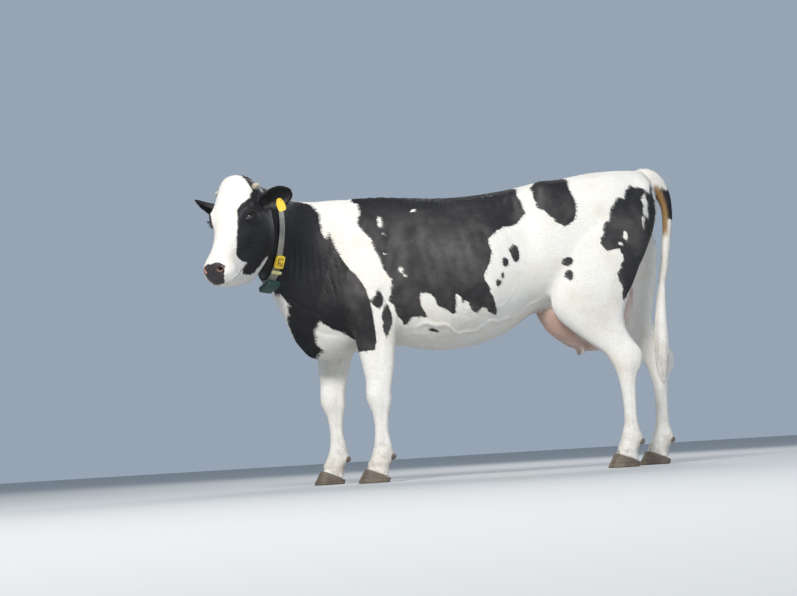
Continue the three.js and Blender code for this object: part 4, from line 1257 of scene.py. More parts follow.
def build_eye(side, paint):
    """An eyeball with a clear bulge over its iris, set behind the lids."""
    along, up, out = [HEAD_AXES @ axis for axis in eye_axes(SIDES[side])]
    centre = centre_of("eye_" + side)
    co, faces = [], []
    for i in range(EYE_RINGS + 1):
        polar = math.pi * i / EYE_RINGS
        reach = EYE_RADIUS + CORNEA["rise"] * math.exp(-((polar / CORNEA["angle"]) ** 4))
        for j in range(EYE_AROUND):
            turn = 2 * math.pi * j / EYE_AROUND
            ring = along * math.cos(turn) + up * math.sin(turn)
            co.append(centre + reach * (out * math.cos(polar) + ring * math.sin(polar)))
            a, b = i * EYE_AROUND + j, i * EYE_AROUND + (j + 1) % EYE_AROUND
            if i < EYE_RINGS:
                faces.append((a, b, b + EYE_AROUND, a + EYE_AROUND))
    eye = new_object("eyeball_" + side, np.array(co), faces)
    clean(eye)
    p = mesh_points(eye.data) - centre
    for name, axis in (("iris_along", along), ("iris_up", up), ("iris_out", out)):
        set_values(eye.data, name, p @ axis)
    finish_piece(eye, "eye", paint, "eye_" + side)


def eye_paint():
    paint = Paint("eyeball")
    along, up, out = (paint.value("iris_" + k) for k in ("along", "up", "out"))
    ring = paint.math("SQRT", paint.plus(paint.math("POWER", along, 2.0), paint.math("POWER", up, 2.0)))
    turn = paint.math("ARCTAN2", up, along)
    spokes = paint.node("ShaderNodeCombineXYZ", X=paint.times(turn, 9.0), Y=paint.times(ring, 120.0))
    fibres = paint.noise(2.2, 3.0, 0.7, spokes)
    iris = paint.layers("iris", ("iris fibres", fibres, 0.35, 0.7), ("iris rim", ring, IRIS - 0.0045, IRIS - 0.0010))
    white = paint.layers("eye white", ("eye veins", paint.noise(300.0), 0.5, 0.7))
    wide, high = (paint.math("POWER", paint.math("DIVIDE", at, half), 2.0) for at, half in zip((along, up), PUPIL))
    pupil = paint.times(paint.span(paint.plus(wide, high), 1.15, 0.85), paint.span(out, 0.0, 0.002))
    colour = paint.layers(iris, (white, ring, IRIS - 0.0005, IRIS + 0.0010), ("pupil", pupil))
    return paint.shade(
        Base_Color=colour, Roughness=paint.span(ring, IRIS - 0.002, IRIS + 0.002, 0.06, 0.22),
        Normal=paint.bumped(paint.noise(700.0), 0.0003, 0.15), Specular_IOR_Level=0.7, Coat_Weight=1.0,
        Coat_Roughness=0.03,
    )


# ---------------------------------------------------------------- horn and claws
HORN_VOXEL = 0.0013
CLAW_VOXEL, DEWCLAW_VOXEL = 0.0034, 0.0022
CLAW_RING = 1250.0  # radians of growth rings to each metre


def node_axes(name):
    """The middle of a node and its own axes, longest first."""
    co, tri = node_arrays(name)
    p = co[tri]
    area = np.linalg.norm(np.cross(p[:, 1] - p[:, 0], p[:, 2] - p[:, 0]), axis=1)
    middle = (p.mean(1) * area[:, None]).sum(0) / area.sum()
    offset = p.mean(1) - middle
    vectors = np.linalg.eigh((offset * area[:, None]).T @ offset)[1]
    return middle, vectors[:, ::-1].T


def moulded(piece_name, node, voxel, passes, lift, edge=None):
    """A node's form with rounded edges, as a fine mesh. lift raises its surface, and edge cuts off its top."""
    space = Space(*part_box(node), voxel, voxel * 6)
    field = blurred(space.distance([node]), passes)
    if edge is not None:
        field = np.maximum(field, space.axis(2) - edge(space.axis(0)))
    co, quads = space.surface(field)
    co = relaxed(co, quads)
    obj = new_object(piece_name, co, quads)
    normals = mesh_normals(obj.data)
    set_points(obj.data, co + normals * lift(co, normals)[:, None])
    return obj


def build_horn(side, paint):
    """A horn bud with rings round its way out of the head."""
    node = "horn_" + side
    middle, _ = node_axes(node)
    way = unit(HEAD_AXES @ np.array([0.0, SIDES[side], 0.15]))

    def lift(co, normals):
        return 0.0007 * np.sin((co - middle) @ way * 2100) + noises(co, ((0.0009, 0.009, 31), (0.0004, 0.003, 32)))

    obj = moulded("horn_bud_" + side, node, HORN_VOXEL, 2, lift)
    set_values(obj.data, "tip", ramp((mesh_points(obj.data) - middle) @ way, -0.012, 0.020))
    finish_piece(obj, "horn", paint, node)


def horn_paint():
    paint = Paint("horn")
    cracks = paint.streaks((420.0, 420.0, 420.0), 4.0, 0.65)
    cloud = paint.noise(70.0, 3.0, 0.6)
    colour = paint.layers(
        "horn", ("horn cloud", cloud, 0.35, 0.7), ("horn tip", paint.times(paint.value("tip"), 0.45)),
        ("horn cracks", cracks, 0.55, 0.75, 0.0, 0.6),
    )
    normal = paint.bumped(cracks, 0.0008, 0.8)
    return paint.shade(Base_Color=colour, Roughness=paint.span(cloud, 0.3, 0.7, 0.42, 0.62), Normal=normal)


def build_claw(name, paint):
    """A claw with growth rings that run round its wall and a level sole, or a small dewclaw."""
    dew = "dewclaw" in name
    low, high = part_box(name)

    def lift(co, normals):
        level = co[:, 2] + 0.014 * (co[:, 0] - low[0]) / (high[0] - low[0])
        rings = 0.0006 * np.sin(level * CLAW_RING + 2 * lattice(co, 0.03, 33)) + 0.0005 * lattice(co, 0.011, 34)
        return 0.5 * rings if dew else rings * (1 - np.abs(normals[:, 2])) * ramp(co[:, 2], 0.002, 0.008)

    form = (DEWCLAW_VOXEL, 4, lift) if dew else (CLAW_VOXEL, 1, lift, coronet(name))
    obj = moulded("horn_of_" + name, name, *form)
    co = mesh_points(obj.data)
    co[:, 2] = np.maximum(co[:, 2], 0.0)
    set_points(obj.data, co)
    set_values(obj.data, "up_wall", (co[:, 2] - low[2]) / (high[2] - low[2]))
    finish_piece(obj, "hoof", paint, name)


def claw_paint():
    paint = Paint("claw_horn")
    up = paint.value("up_wall")
    rings = paint.streaks((9.0, 9.0, 340.0), 3.0, 0.6)
    tubes = paint.streaks((620.0, 620.0, 30.0), 2.0, 0.6)
    cloud = paint.noise(24.0, 3.0, 0.6)
    colour = paint.layers(
        "claw", ("claw cloud", cloud, 0.35, 0.7), ("claw rings", rings, 0.45, 0.65, 0.0, 0.55),
        ("claw top", up, 0.80, 1.0, 0.0, 0.7), ("claw sole", up, 0.16, 0.0, 0.0, 0.6),
    )
    normal = paint.bumped(rings, 0.0012, 0.8, paint.bumped(tubes, 0.0005, 0.5))
    return paint.shade(Base_Color=colour, Roughness=paint.span(cloud, 0.3, 0.7, 0.42, 0.64), Normal=normal)


# ---------------------------------------------------------------- collar and ear tag
STRAP_VOXEL = 0.0024
STRAP_ROWS = 80  # parts of the loop in which its two edges are found
STITCH_LINE = 0.0145  # how far from the strap's middle each row of stitches runs
STITCH = 1250.0  # radians of stitches to each metre


def collar_angles(p):
    """Angle round the collar, place along the neck and distance from its middle, of each point."""
    first = unit(np.cross(COLLAR_AXIS, [0, 0, 1.0]))
    second = np.cross(COLLAR_AXIS, first)
    offset = p - COLLAR_CENTRE
    a, b = offset @ first, offset @ second
    return np.arctan2(b, a), offset @ COLLAR_AXIS, np.hypot(a, b)


def strap_places(co):
    """Metres across the strap from the line midway between its edges, and metres round it."""
    turn, place, reach = collar_angles(co)
    row = ((turn + math.pi) / (2 * math.pi) * STRAP_ROWS).astype(int) % STRAP_ROWS
    low, high = np.full(STRAP_ROWS, FAR), np.full(STRAP_ROWS, -FAR)
    np.minimum.at(low, row, place)
    np.maximum.at(high, row, place)
    middle = (low + high) / 2
    for _ in range(2):
        middle = (np.roll(middle, 1) + 2 * middle + np.roll(middle, -1)) / 4
    centres = (np.arange(STRAP_ROWS) + 0.5) / STRAP_ROWS * 2 * math.pi - math.pi
    return place - np.interp(turn, centres, middle, period=2 * math.pi), turn * reach.mean()


def strap_lift(co, normals):
    """Hems and stitches."""
    across, run = strap_places(co)
    hem = -0.0007 * bump(np.abs(across), STITCH_LINE, 0.0012)
    stitch = 0.0006 * (np.sin(run * STITCH) > 0.2) * bump(np.abs(across), STITCH_LINE, 0.0010)
    return hem + stitch + 0.0007 * lattice(co, 0.05, 35)


def build_strap(paint):
    obj = moulded("collar_webbing", "collar_strap", STRAP_VOXEL, 1, strap_lift)
    across, run = strap_places(mesh_points(obj.data))
    set_values(obj.data, "across", across)
    set_values(obj.data, "round", run)
    finish_piece(obj, "collar_webbing", paint, "collar_strap")


def strap_paint():
    paint = Paint("shaded webbing")
    across, run = paint.value("across"), paint.value("round")
    weft, warp = (paint.math("SINE", paint.times(*pair)) for pair in ((across, 3100.0), (run, 2600.0)))
    weave = paint.times(weft, warp)
    soil = paint.noise(36.0, 4.0, 0.65)
    off = paint.math("ABSOLUTE", across)
    row = paint.span(paint.math("ABSOLUTE", paint.math("SUBTRACT", off, STITCH_LINE)), 0.0013, 0.0006)
    thread = paint.times(row, paint.span(paint.math("SINE", paint.times(run, STITCH)), 0.0, 0.3))
    # the webbing's tones are darker in part as painted shade
    colour = paint.layers(
        "shaded webbing", ("webbing soil", soil, 0.35, 0.72), ("weave", weave, -0.6, 0.4, 0.30, 0.0),
        ("webbing edge", off, 0.0155, 0.0185, 0.0, 0.5), ("thread", thread),
    )
    normal = paint.bumped(paint.plus(weave, thread), 0.0005, 0.7)
    rough = paint.span(soil, 0.3, 0.7, 0.78, 0.92)
    return paint.shade(Base_Color=colour, Roughness=rough, Normal=normal, Sheen_Weight=0.2)


def pad_frame(node):
    """A pad's middle, its long and cross directions and the way out of the neck."""
    middle, (long, _, out) = node_axes(node)
    if out @ (middle - COLLAR_CENTRE) < 0:
        out = -out
    if long[2] < 0:
        long = -long
    return middle, long, np.cross(out, long), out


def plastic_paint(name):
    base, worn = PLASTICS[name]
    rubbed = tuple(min(1.0, v * 1.25 + 0.05) for v in base)
    paint = Paint(name)
    scuff, cloud = paint.streaks((900.0, 300.0, 140.0), 3.0, 0.7), paint.noise(40.0, 4.0, 0.6)
    colour = paint.layers(
        base, (worn, cloud, 0.40, 0.75, 0.0, 0.6), (rubbed, paint.value("wear")), ("dirt", paint.value("soil")),
    )
    normal = paint.bumped(paint.noise(1500.0), 0.0002, 0.35, paint.bumped(scuff, 0.0003, 0.4))
    return paint.shade(Base_Color=colour, Roughness=paint.span(scuff, 0.3, 0.7, 0.30, 0.54), Normal=normal)


def add_wear(obj):
    """Marks edges that rub and hollows that hold soil, from how the surface curves."""
    mesh = obj.data
    co, normals = mesh_points(mesh), mesh_normals(mesh)
    a, b = read(mesh.edges, "vertices", np.int32, 2).T
    ends, others = np.concatenate([a, b]), np.concatenate([b, a])
    bend = ((normals[a] - normals[b]) * unit(co[a] - co[b])).sum(1)
    count = np.maximum(np.bincount(ends, minlength=len(co)), 1)
    curve = np.bincount(ends, np.concatenate([bend, bend]), len(co)) / count
    for _ in range(3):
        curve = np.bincount(ends, curve[others], len(co)) / count
    noise = lattice(co, 0.006, 36)
    set_values(mesh, "wear", ramp(curve + 0.05 * noise, 0.07, 0.22) * 0.7)
    soil = ramp(-curve + 0.04 * noise, 0.03, 0.14) * 0.8 + 0.12 * ramp(noise, 0.1, 0.8)
    set_values(mesh, "soil", np.clip(soil, 0, 1))


PANEL = {"half": (0.0250, 0.0170), "deep": 0.0022}  # the sunk field of the number block


# Places on a pad: along it, across it and out from its middle, how far its surface faces out, and the places alone.
OnPad = namedtuple("OnPad", "along across out facing co")


def block_lift(at):
    """The sunk field that the digits stand in."""
    edge = np.minimum(PANEL["half"][0] - np.abs(at.along), PANEL["half"][1] - np.abs(at.across))
    return -PANEL["deep"] * ramp(edge, -0.0010, 0.0010) * ramp(at.facing, 0.4, 0.8)


def buckle_lift(at):
    """Ribs between two grooves."""
    off = np.abs(at.along)
    rib = np.cos(at.along * 2 * math.pi / 0.0055) * (off < 0.019) * ramp(at.facing, 0.3, 0.8)
    return 0.0007 * rib - 0.0016 * bump(off, 0.0225, 0.0011) * ramp(at.facing, 0.2, 0.6)


def case_lift(at):
    """A seam round the case, a dome on its lid and four screws."""
    seam = -0.0012 * bump(at.out, -0.002, 0.0009) * (np.abs(at.facing) < 0.6)
    dome = 0.0016 * (1 - ramp(np.hypot(at.along, at.across), 0.0195, 0.0210))
    from_screw = np.hypot(np.abs(at.along) - 0.034, np.abs(at.across) - 0.026)
    return seam + (dome - 0.0015 * (1 - ramp(from_screw, 0.0026, 0.0034))) * ramp(at.facing, 0.5, 0.9)


def tag_lift(at):
    """Two raised bars and a slight wave."""
    facing = np.abs(at.facing)
    bars = (bump(at.along, -0.004, 0.0013) + bump(at.along, -0.019, 0.0013)) * (np.abs(at.across) < 0.012)
    return 0.0005 * bars * ramp(facing, 0.6, 0.9) + 0.0006 * lattice(at.co, 0.02, 37) * facing


# What hangs on the strap and the ear: piece, node, voxel, smoothing, relief and plastic.
PADS = [
    ("number_block", "collar_number_block", 0.0013, 2, block_lift, "yellow_plastic"),
    ("buckle", "collar_buckle", 0.0010, 2, buckle_lift, "cream_plastic"),
    ("transponder", "collar_transponder", 0.0018, 2, case_lift, "green_plastic"),
    ("ear_tag_plate", "ear_tag", 0.001, 1, tag_lift, "yellow_plastic"),
]
NUMBER = "27"
# The bars of a plain seven-bar digit: place across and up in half-sizes of the digit, and whether it lies level.
BARS = {
    "top": (0, 1, True), "upper left": (-1, 0.5, False), "upper right": (1, 0.5, False), "middle": (0, 0, True),
    "lower left": (-1, -0.5, False), "lower right": (1, -0.5, False), "bottom": (0, -1, True),
}
DIGIT_BARS = {
    "2": ("top", "upper right", "middle", "lower left", "bottom"),
    "7": ("top", "upper right", "lower right"),
}
DIGIT = {"wide": 0.0125, "high": 0.0240, "bar": 0.0042, "gap": 0.0195}
BAR_RISE = (0.0011, 0.0012)  # half-height of the upright and the level bars
BAR_RINGS = ((-1, 0.0), (0.55, 0.0), (1, 0.25))  # height of each ring of a bar, and how far it is drawn in


def bar_block(centre, axes, halves):
    """Corners and faces of a small bar with a bevelled top."""
    co = []
    for s, inset in BAR_RINGS:
        size = [half - inset * min(halves[:2]) for half in halves[:2]]
        for u, v in ((-1, -1), (1, -1), (1, 1), (-1, 1)):
            co.append(centre + axes[0] * size[0] * u + axes[1] * size[1] * v + axes[2] * halves[2] * s)
    sides = [(k + i, k + (i + 1) % 4, k + 4 + (i + 1) % 4, k + 4 + i) for k in (0, 4) for i in range(4)]
    return co, [*sides, (3, 2, 1, 0), (8, 9, 10, 11)]


def build_digits(top, across, up, out, paint):
    """The block's number, in plain bars."""
    half_w, half_h, bar = DIGIT["wide"] / 2, DIGIT["high"] / 2, DIGIT["bar"] / 2
    co, faces = [], []
    for k, digit in enumerate(NUMBER):
        at = top + across * (k - (len(NUMBER) - 1) / 2) * DIGIT["gap"]
        for name in DIGIT_BARS[digit]:
            x, y, level = BARS[name]
            axes = (across, up, out) if level else (up, across, out)
            halves = (half_w + bar * 0.9 if level else half_h / 2 + bar * 0.6, bar, BAR_RISE[level])
            corners, some = bar_block(at + across * x * half_w + up * y * half_h, axes, halves)
            faces += [tuple(i + len(co) for i in face) for face in some]
            co += corners
    digits = new_object("number_digits", np.array(co), faces, False)
    clean(digits)
    for name in ("wear", "soil"):
        set_values(digits.data, name, np.full(len(digits.data.vertices), 0.1))
    finish_piece(digits, "yellow_plastic", paint)


def build_pads():
    paints = {name: plastic_paint(name) for name in PLASTICS}
    for piece, node, voxel, passes, relief, plastic in PADS:
        middle, long, cross, out = pad_frame(node)

        def lift(co, normals):
            offset = co - middle
            return relief(OnPad(offset @ long, offset @ cross, offset @ out, normals @ out, co))

        obj = moulded(piece, node, voxel, passes, lift)
        add_wear(obj)
        finish_piece(obj, plastic, paints[plastic], node)
        if piece == "number_block":
            top = ((mesh_points(obj.data) - middle) @ out).max() - PANEL["deep"]
            build_digits(middle + out * top, long, cross, out, paints["digit_plastic"])


# ---------------------------------------------------------------- coat
ROOT_SINK = 0.0008  # how deep a lock's root sits in the skin
ROUND_SHADE = 0.45  # how far a lock's shading turns from the skin's to its own round form
PATCH = 0.003  # size of a lock's patch on the coat's map
CARRIED = ("black", "pink", "tan", "grime", "dust")  # what locks take over from the skin
# The pieces of short coat: how many locks, the seed of their random draws, how far they stray from the hair's lie in
# radians, their thickness for their width, and the height of their tips for their middles'.
COATS = {
    "coat_neck": (13200, 100, 0.16, 0.2, 0.45),
    "coat_shoulder": (16200, 101, 0.16, 0.2, 0.45),
    "coat_barrel": (16800, 102, 0.16, 0.2, 0.45),
    "coat_rump": (17200, 103, 0.16, 0.2, 0.45),
    "coat_forelegs": (12500, 111, 0.18, 0.26, 0.45),
    "coat_hindlegs": (15500, 113, 0.18, 0.26, 0.45),
    "coat_udder": (1500, 115, 0.4, 0.3, 0.45),
    "coat_head": (18000, 120, 0.16, 0.26, 0.6),
    "coat_ears": (6800, 121, 0.22, 0.3, 1.2),
    "coat_tail": (4000, 140, 0.15, 0.3, 0.8),
}
# Where the trunk's pieces meet along the body, and the number of the first of two legs in each of the legs' pieces.
TRUNK_PIECES = {
    "coat_neck": (-1.05, -0.62), "coat_shoulder": (-0.62, -0.20), "coat_barrel": (-0.20, 0.36),
    "coat_rump": (0.36, 1.20),
}
LEG_PIECES = {"coat_forelegs": 1, "coat_hindlegs": 3}
COLLAR_REACH = (0.022, 0.044)  # from the strap's middle, where the coat is pressed and where it stands free again
PAD_REACH = (0.008, 0.012, 0.05)  # how far round each pad, and below it, the coat is left out
SWITCH_COUNT, SWITCH_STEPS, SWITCH_SEED = 3100, 7, 141
LASH_STEPS, LASH_SEED = 5, 130
# Rows of lashes: 1 above the eye and -1 below it, how many, length, how far outside the slit, droop and curl.
LASHES = ((1, 64, 0.024, 0.0012, -0.25, 0.55), (-1, 34, 0.012, 0.0010, -0.35, -0.25))
RING_GAP = 0.012  # the least step in height between two rings of the tail's form


class Hide:
    """The finished skin as triangles, with its values, ready for locks to be rooted in."""

    def __init__(self, skin):
        mesh = skin.data
        mesh.calc_loop_triangles()
        self.tri = read(mesh.loop_triangles, "vertices", np.int32)
        self.co, self.normals = mesh_points(mesh), mesh_normals(mesh)
        names = (*CARRIED, "part", "pad", "rim", "hollow", "inner_ear")
        self.values = {name: get_values(mesh, name) for name in names}
        self.lie = read(mesh.attributes["lie"].data, "vector").astype(float)
        p = self.co[self.tri]
        self.area = np.linalg.norm(np.cross(p[:, 1] - p[:, 0], p[:, 2] - p[:, 0]), axis=1) / 2
        self.part = np.round(self.at("part"))
        self.middle = p.mean(1)
        self.tree = BVHTree.FromPolygons(self.co.tolist(), self.tri.tolist())

    def at(self, name):
        """One of the skin's values at each triangle's first corner."""
        return self.values[name][self.tri[:, 0]]

    def roots(self, density, count, seed):
        """Evenly spread roots: triangles share them by area and density."""
        rng = np.random.default_rng(seed)
        weight = np.cumsum(self.area * density)
        spread = (np.arange(count) + rng.uniform(0, 1, count)) / count
        chosen = np.searchsorted(weight, spread * weight[-1] * 0.999999)
        u, v = rng.uniform(0, 1, (2, count))
        flip = u + v > 1
        u, v = np.where(flip, 1 - u, u), np.where(flip, 1 - v, v)
        shares = np.stack([1 - u - v, u, v], 1)
        corner = self.tri[chosen]

        def blend(values):
            return (values[corner] * (shares[:, :, None] if values.ndim == 2 else shares)).sum(1)

        out = {name: blend(values) for name, values in self.values.items()}
        return out | {
            "part": self.part[chosen], "p": blend(self.co), "n": unit(blend(self.normals)),
            "lie": unit(blend(self.lie)),
        }, rng

    def on_skin(self, points):
        """The nearest places on the skin and its outward directions there."""
        where, normal = np.empty_like(points), np.empty_like(points)
        for k, point in enumerate(points.tolist()):
            where[k], normal[k] = self.tree.find_nearest(point)[:2]
        return where, normal


def three_sided(name, co, tri):
    """A mesh object made straight from arrays of corners and triangles."""
    mesh = bpy.data.meshes.new(name)
    mesh.vertices.add(len(co))
    mesh.vertices.foreach_set("co", co.astype(np.float32).ravel())
    mesh.loops.add(len(tri) * 3)
    mesh.loops.foreach_set("vertex_index", tri.astype(np.int32).ravel())
    mesh.polygons.add(len(tri))
    mesh.polygons.foreach_set("loop_start", np.arange(0, len(tri) * 3, 3, dtype=np.int32))
    mesh.update(calc_edges=True)
    mesh.shade_smooth()
    return placed(name, mesh)


def lock_faces(rings):
    """Triangles of one lock: a closed base, sides between rings of three, and a point."""
    faces = [(0, 2, 1)]
    for r in range(rings - 1):
        for k in range(3):
            a, b = r * 3 + k, r * 3 + (k + 1) % 3
            faces += [(a, b, b + 3), (a, b + 3, a + 3)]
    last = (rings - 1) * 3
    return np.array(faces + [(last + k, last + (k + 1) % 3, last + 3) for k in range(3)])[:, ::-1]


def locks(name, roots, path, out, width, thick, uv, paint, swell=(0.75, 1.0)):
    """Joined locks along their paths: arrays of (lock, step, xyz), the last step being the tip.

    swell is the share of its width that a lock has at its root and a third of the way along.
    """
    count, steps = path.shape[:2]
    rings = steps - 1
    each = rings * 3 + 1
    ahead = unit(np.gradient(path, axis=1))
    side = unit(np.cross(ahead, out))
    up = np.cross(side, ahead)
    share = np.arange(rings) / rings
    profile = np.interp(share, (0, 0.35, 0.75, 1.0), (*swell, 0.62, 0.2))[None, :, None]
    half = width[:, None, None] * profile / 2
    deep = thick[:, None, None] * profile
    drop = np.zeros((count, rings, 1))  # the edges of a lock that lies on the skin go down to it
    drop[:, 1, 0] = roots.get("raised", 0)
    side, up, centre = side[:, :rings], up[:, :rings], path[:, :rings]
    low = centre - up * drop
    ring = np.stack([low + side * half, centre + up * deep, low - side * half], 2)
    co = np.concatenate([ring.reshape(count, rings * 3, 3), path[:, rings:]], 1)
    tri = (lock_faces(rings)[None] + np.arange(count)[:, None, None] * each).reshape(-1, 3)
    obj = three_sided(name, co.reshape(-1, 3), tri)
    mesh = obj.data
    facing = np.stack([side, up, -side], 2) * ROUND_SHADE + out[:, :rings, None]
    facing = np.concatenate([facing.reshape(count, rings * 3, 3), out[:, rings:]], 1)
    mesh.normals_split_custom_set_from_vertices(unit(facing.reshape(-1, 3)).tolist())
    for key in (*CARRIED, "tint"):
        set_values(mesh, key, np.repeat(roots[key], each))
    along = np.append(np.repeat(share, 3), 1.0)
    set_values(mesh, "along", np.tile(along, count))
    set_vectors(mesh, "lie", np.repeat(ahead[:, 0], each, 0))
    across = np.append(np.tile([0.5, 0.0, -0.5], rings), 0.0)
    spot = np.stack([across, along - 0.5], 1)[None] * PATCH
    flat = (uv[:, None] * (1 - 2 * PATCH) + PATCH + spot).reshape(-1, 2)
    layer = mesh.uv_layers.new(name="OFBake")
    layer.data.foreach_set("uv", flat[tri.ravel()].astype(np.float32).ravel())
    finish_piece(obj, "coat", paint)


def flat_path(hide, roots, length, depth, tip):
    """Short locks that lie along the skin: root below it, middle at the coat's depth, tip at a share of that."""
    p, n, lie = roots["p"], roots["n"], roots["lie"]
    middle, n1 = hide.on_skin(p + lie * (length * 0.5)[:, None])
    end, n2 = hide.on_skin(middle + unit(middle - p) * (length * 0.5)[:, None])
    roots["raised"] = depth
    path = np.stack([p - n * ROOT_SINK, middle + n1 * depth[:, None], end + n2 * (depth * tip)[:, None]], 1)
    return path, np.stack([n, n1, n2], 1)


def varied(rng, roots, low, high):
    """A random amount for each lock."""
    return rng.uniform(low, high, len(roots["p"]))


def grow(hide, name, density, shape, unwrap, paint):
    """Short locks over part of the skin, each turned a little from the hair's lie.

    shape gives their lengths, depths and widths, and unwrap their places on the map.
    """
    count, seed, stray, flat, tip = COATS[name]
    roots, rng = hide.roots(density, count, seed)
    angle = rng.normal(0, stray, count)[:, None]
    side = np.cross(roots["n"], roots["lie"])
    roots["lie"] = unit(roots["lie"] * np.cos(angle) + side * np.sin(angle))
    roots["tint"] = varied(rng, roots, 0, 1)
    length, depth, width = shape(roots, rng)
    path, out = flat_path(hide, roots, length, depth, tip)
    locks(name, roots, path, out, width, width * flat, unwrap(roots), paint)


def around(x, y):
    """The turn round an upright line, from 0 to 1."""
    return np.arctan2(x, y) / (2 * math.pi) + 0.5


def body_map(start, end):
    """An unwrap of a stretch of the body: along it and round it."""

    def unwrap(roots):
        x, degrees = girth(roots["p"])
        return np.stack([np.clip((x - start) / (end - start), 0, 1), (degrees + 180) / 360], 1)

    return unwrap


def limb_map(first, top=1.25):
    """An unwrap of two legs side by side: round each and up it."""

    def unwrap(roots):
        p, out = roots["p"], np.zeros((len(roots["p"]), 2))
        for k in (first, first + 1):
            chosen = roots["part"] == k
            offset = p[chosen] - centre_of(LEGS[k - 1])
            out[chosen, 0] = (k - first + around(offset[:, 1], offset[:, 0]) * 0.98 + 0.01) / 2
            out[chosen, 1] = np.clip(p[chosen, 2] / top, 0, 1)
        return out

    return unwrap


def head_map(roots):
    """An unwrap of the head: down the face and round it."""
    q = head_places(roots["p"])
    return np.stack([np.clip((q[:, 0] + 0.12) / 0.70, 0, 1), around(q[:, 1], q[:, 2] + HEAD_MIDDLE)], 1)


def ear_map(roots):
    """An unwrap of the ears: each ear's outside and inside are a quarter of the map."""
    q = head_places(roots["p"])
    inside = (ear_facing(roots["n"]) > 0.1) * 0.5
    right = (q[:, 1] < 0) * 0.5
    out = np.clip((np.abs(q[:, 1]) - 0.09) / 0.24, 0, 1) * 0.46 + 0.02
    high = np.clip((q[:, 2] + q[:, 0] * 0.3 + 0.25) / 0.32, 0, 1) * 0.46 + 0.02
    return np.stack([right + out, inside + high], 1)


def tail_map(roots):
    """An unwrap of the tail: round it and up it."""
    offset = roots["p"] - centre_of("tail")
    return np.stack([around(*offset[:, :2].T), np.clip((roots["p"][:, 2] - 0.8) / 0.8, 0, 1)], 1)


def near_collar(p):
    """1 under the strap, fading to 0 just beyond its edges."""
    return 1 - ramp(np.abs((p - COLLAR_CENTRE) @ COLLAR_AXIS), *COLLAR_REACH)


def under_pads(p):
    """True for places below the pieces on the strap."""
    hidden = np.zeros(len(p), bool)
    for node in ("collar_number_block", "collar_buckle", "collar_transponder"):
        middle, *axes = pad_frame(node)
        corners = (node_arrays(node)[0] - middle) @ np.array(axes).T
        reach = np.abs((p - middle) @ np.array(axes).T) - np.abs(corners).max(0)
        hidden |= (reach < PAD_REACH).all(1)
    return hidden


def trunk_shape(roots, rng):
    x, degrees = girth(roots["p"])
    side = np.abs(degrees)
    length = 0.015 + 0.004 * bump(side, 0, 14) + 0.006 * ramp(side, 140, 168)
    length = length + 0.005 * (1 - ramp(x, -0.75, -0.45)) + 0.004 * ramp(x, 0.85, 1.0)
    pressed = 1 - 0.7 * near_collar(roots["p"])
    length = length * (varied(rng, roots, 0.75, 1.25) * pressed)
    depth = (0.0011 + 0.0011 * varied(rng, roots, 0, 1) ** 2) * pressed
    return length, depth, 0.0036 * varied(rng, roots, 0.7, 1.3)


def leg_shape(roots, rng):
    """Short hair, longer above and in a cuff over the claws."""
    height = roots["p"][:, 2]
    cuff = bump(height, 0.10, 0.025)
    length = (0.0085 + 0.005 * cuff + 0.006 * ramp(height, 0.45, 0.8)) * varied(rng, roots, 0.75, 1.25)
    depth = 0.0007 + 0.0007 * varied(rng, roots, 0, 1) + 0.0006 * ramp(height, 0.4, 0.8) + 0.0012 * cuff
    return length, depth, (0.0021 + 0.0012 * ramp(height, 0.3, 0.8)) * varied(rng, roots, 0.7, 1.3)


def udder_shape(roots, rng):
    """Sparse fine down, lighter than the skin."""
    roots["pink"] = roots["pink"] * 0.35
    length = 0.008 * varied(rng, roots, 0.6, 1.3)
    return length, np.full(len(length), 0.0010), 0.0009 * varied(rng, roots, 0.7, 1.3)


def head_shape(roots, rng):
    """Very short hair, shortest on the muzzle and the lids and longest on the poll."""
    place = head_places(roots["p"])
    x, y, z = place.T
    poll = (1 - ramp(x, 0.02, 0.09)) * (1 - ramp(np.abs(y), 0.05, 0.09))
    muzzle = ramp(x, 0.34, 0.46)
    jaw = ramp(-z, 0.17, 0.22) * (1 - muzzle)
    length = 0.0085 + 0.013 * poll - 0.0040 * muzzle + 0.004 * jaw
    for sign in SIDES.values():
        far = np.linalg.norm(place - mirrored(EYE_PLACE, sign), axis=1)
        length = length * (0.45 + 0.55 * ramp(far, 0.024, 0.045))
    length = length * varied(rng, roots, 0.75, 1.25)
    depth = (0.0006 + 0.0006 * varied(rng, roots, 0, 1) ** 2) * (1 + 2.6 * poll + 0.7 * jaw)
    return length, depth, (0.0023 - 0.0007 * muzzle) * varied(rng, roots, 0.7, 1.3)


def ear_shape(roots, rng):
    """Longer hair at the rim and inside."""
    inner = roots["inner_ear"]
    rim = bump(ear_facing(roots["n"]), 0.1, 0.35)
    length = (0.010 + 0.010 * rim + 0.010 * inner) * varied(rng, roots, 0.7, 1.3)
    depth = 0.0012 + 0.0022 * rim * varied(rng, roots, 0.3, 1) + 0.003 * inner * varied(rng, roots, 0, 1)
    return length, depth, 0.0019 * varied(rng, roots, 0.7, 1.3)


def tail_shape(roots, rng):
    length = (0.020 + 0.008 * (1 - ramp(roots["p"][:, 2], 0.9, 1.1))) * varied(rng, roots, 0.7, 1.3)
    return length, 0.0022 + 0.0022 * varied(rng, roots, 0, 1), 0.0030 * varied(rng, roots, 0.7, 1.3)


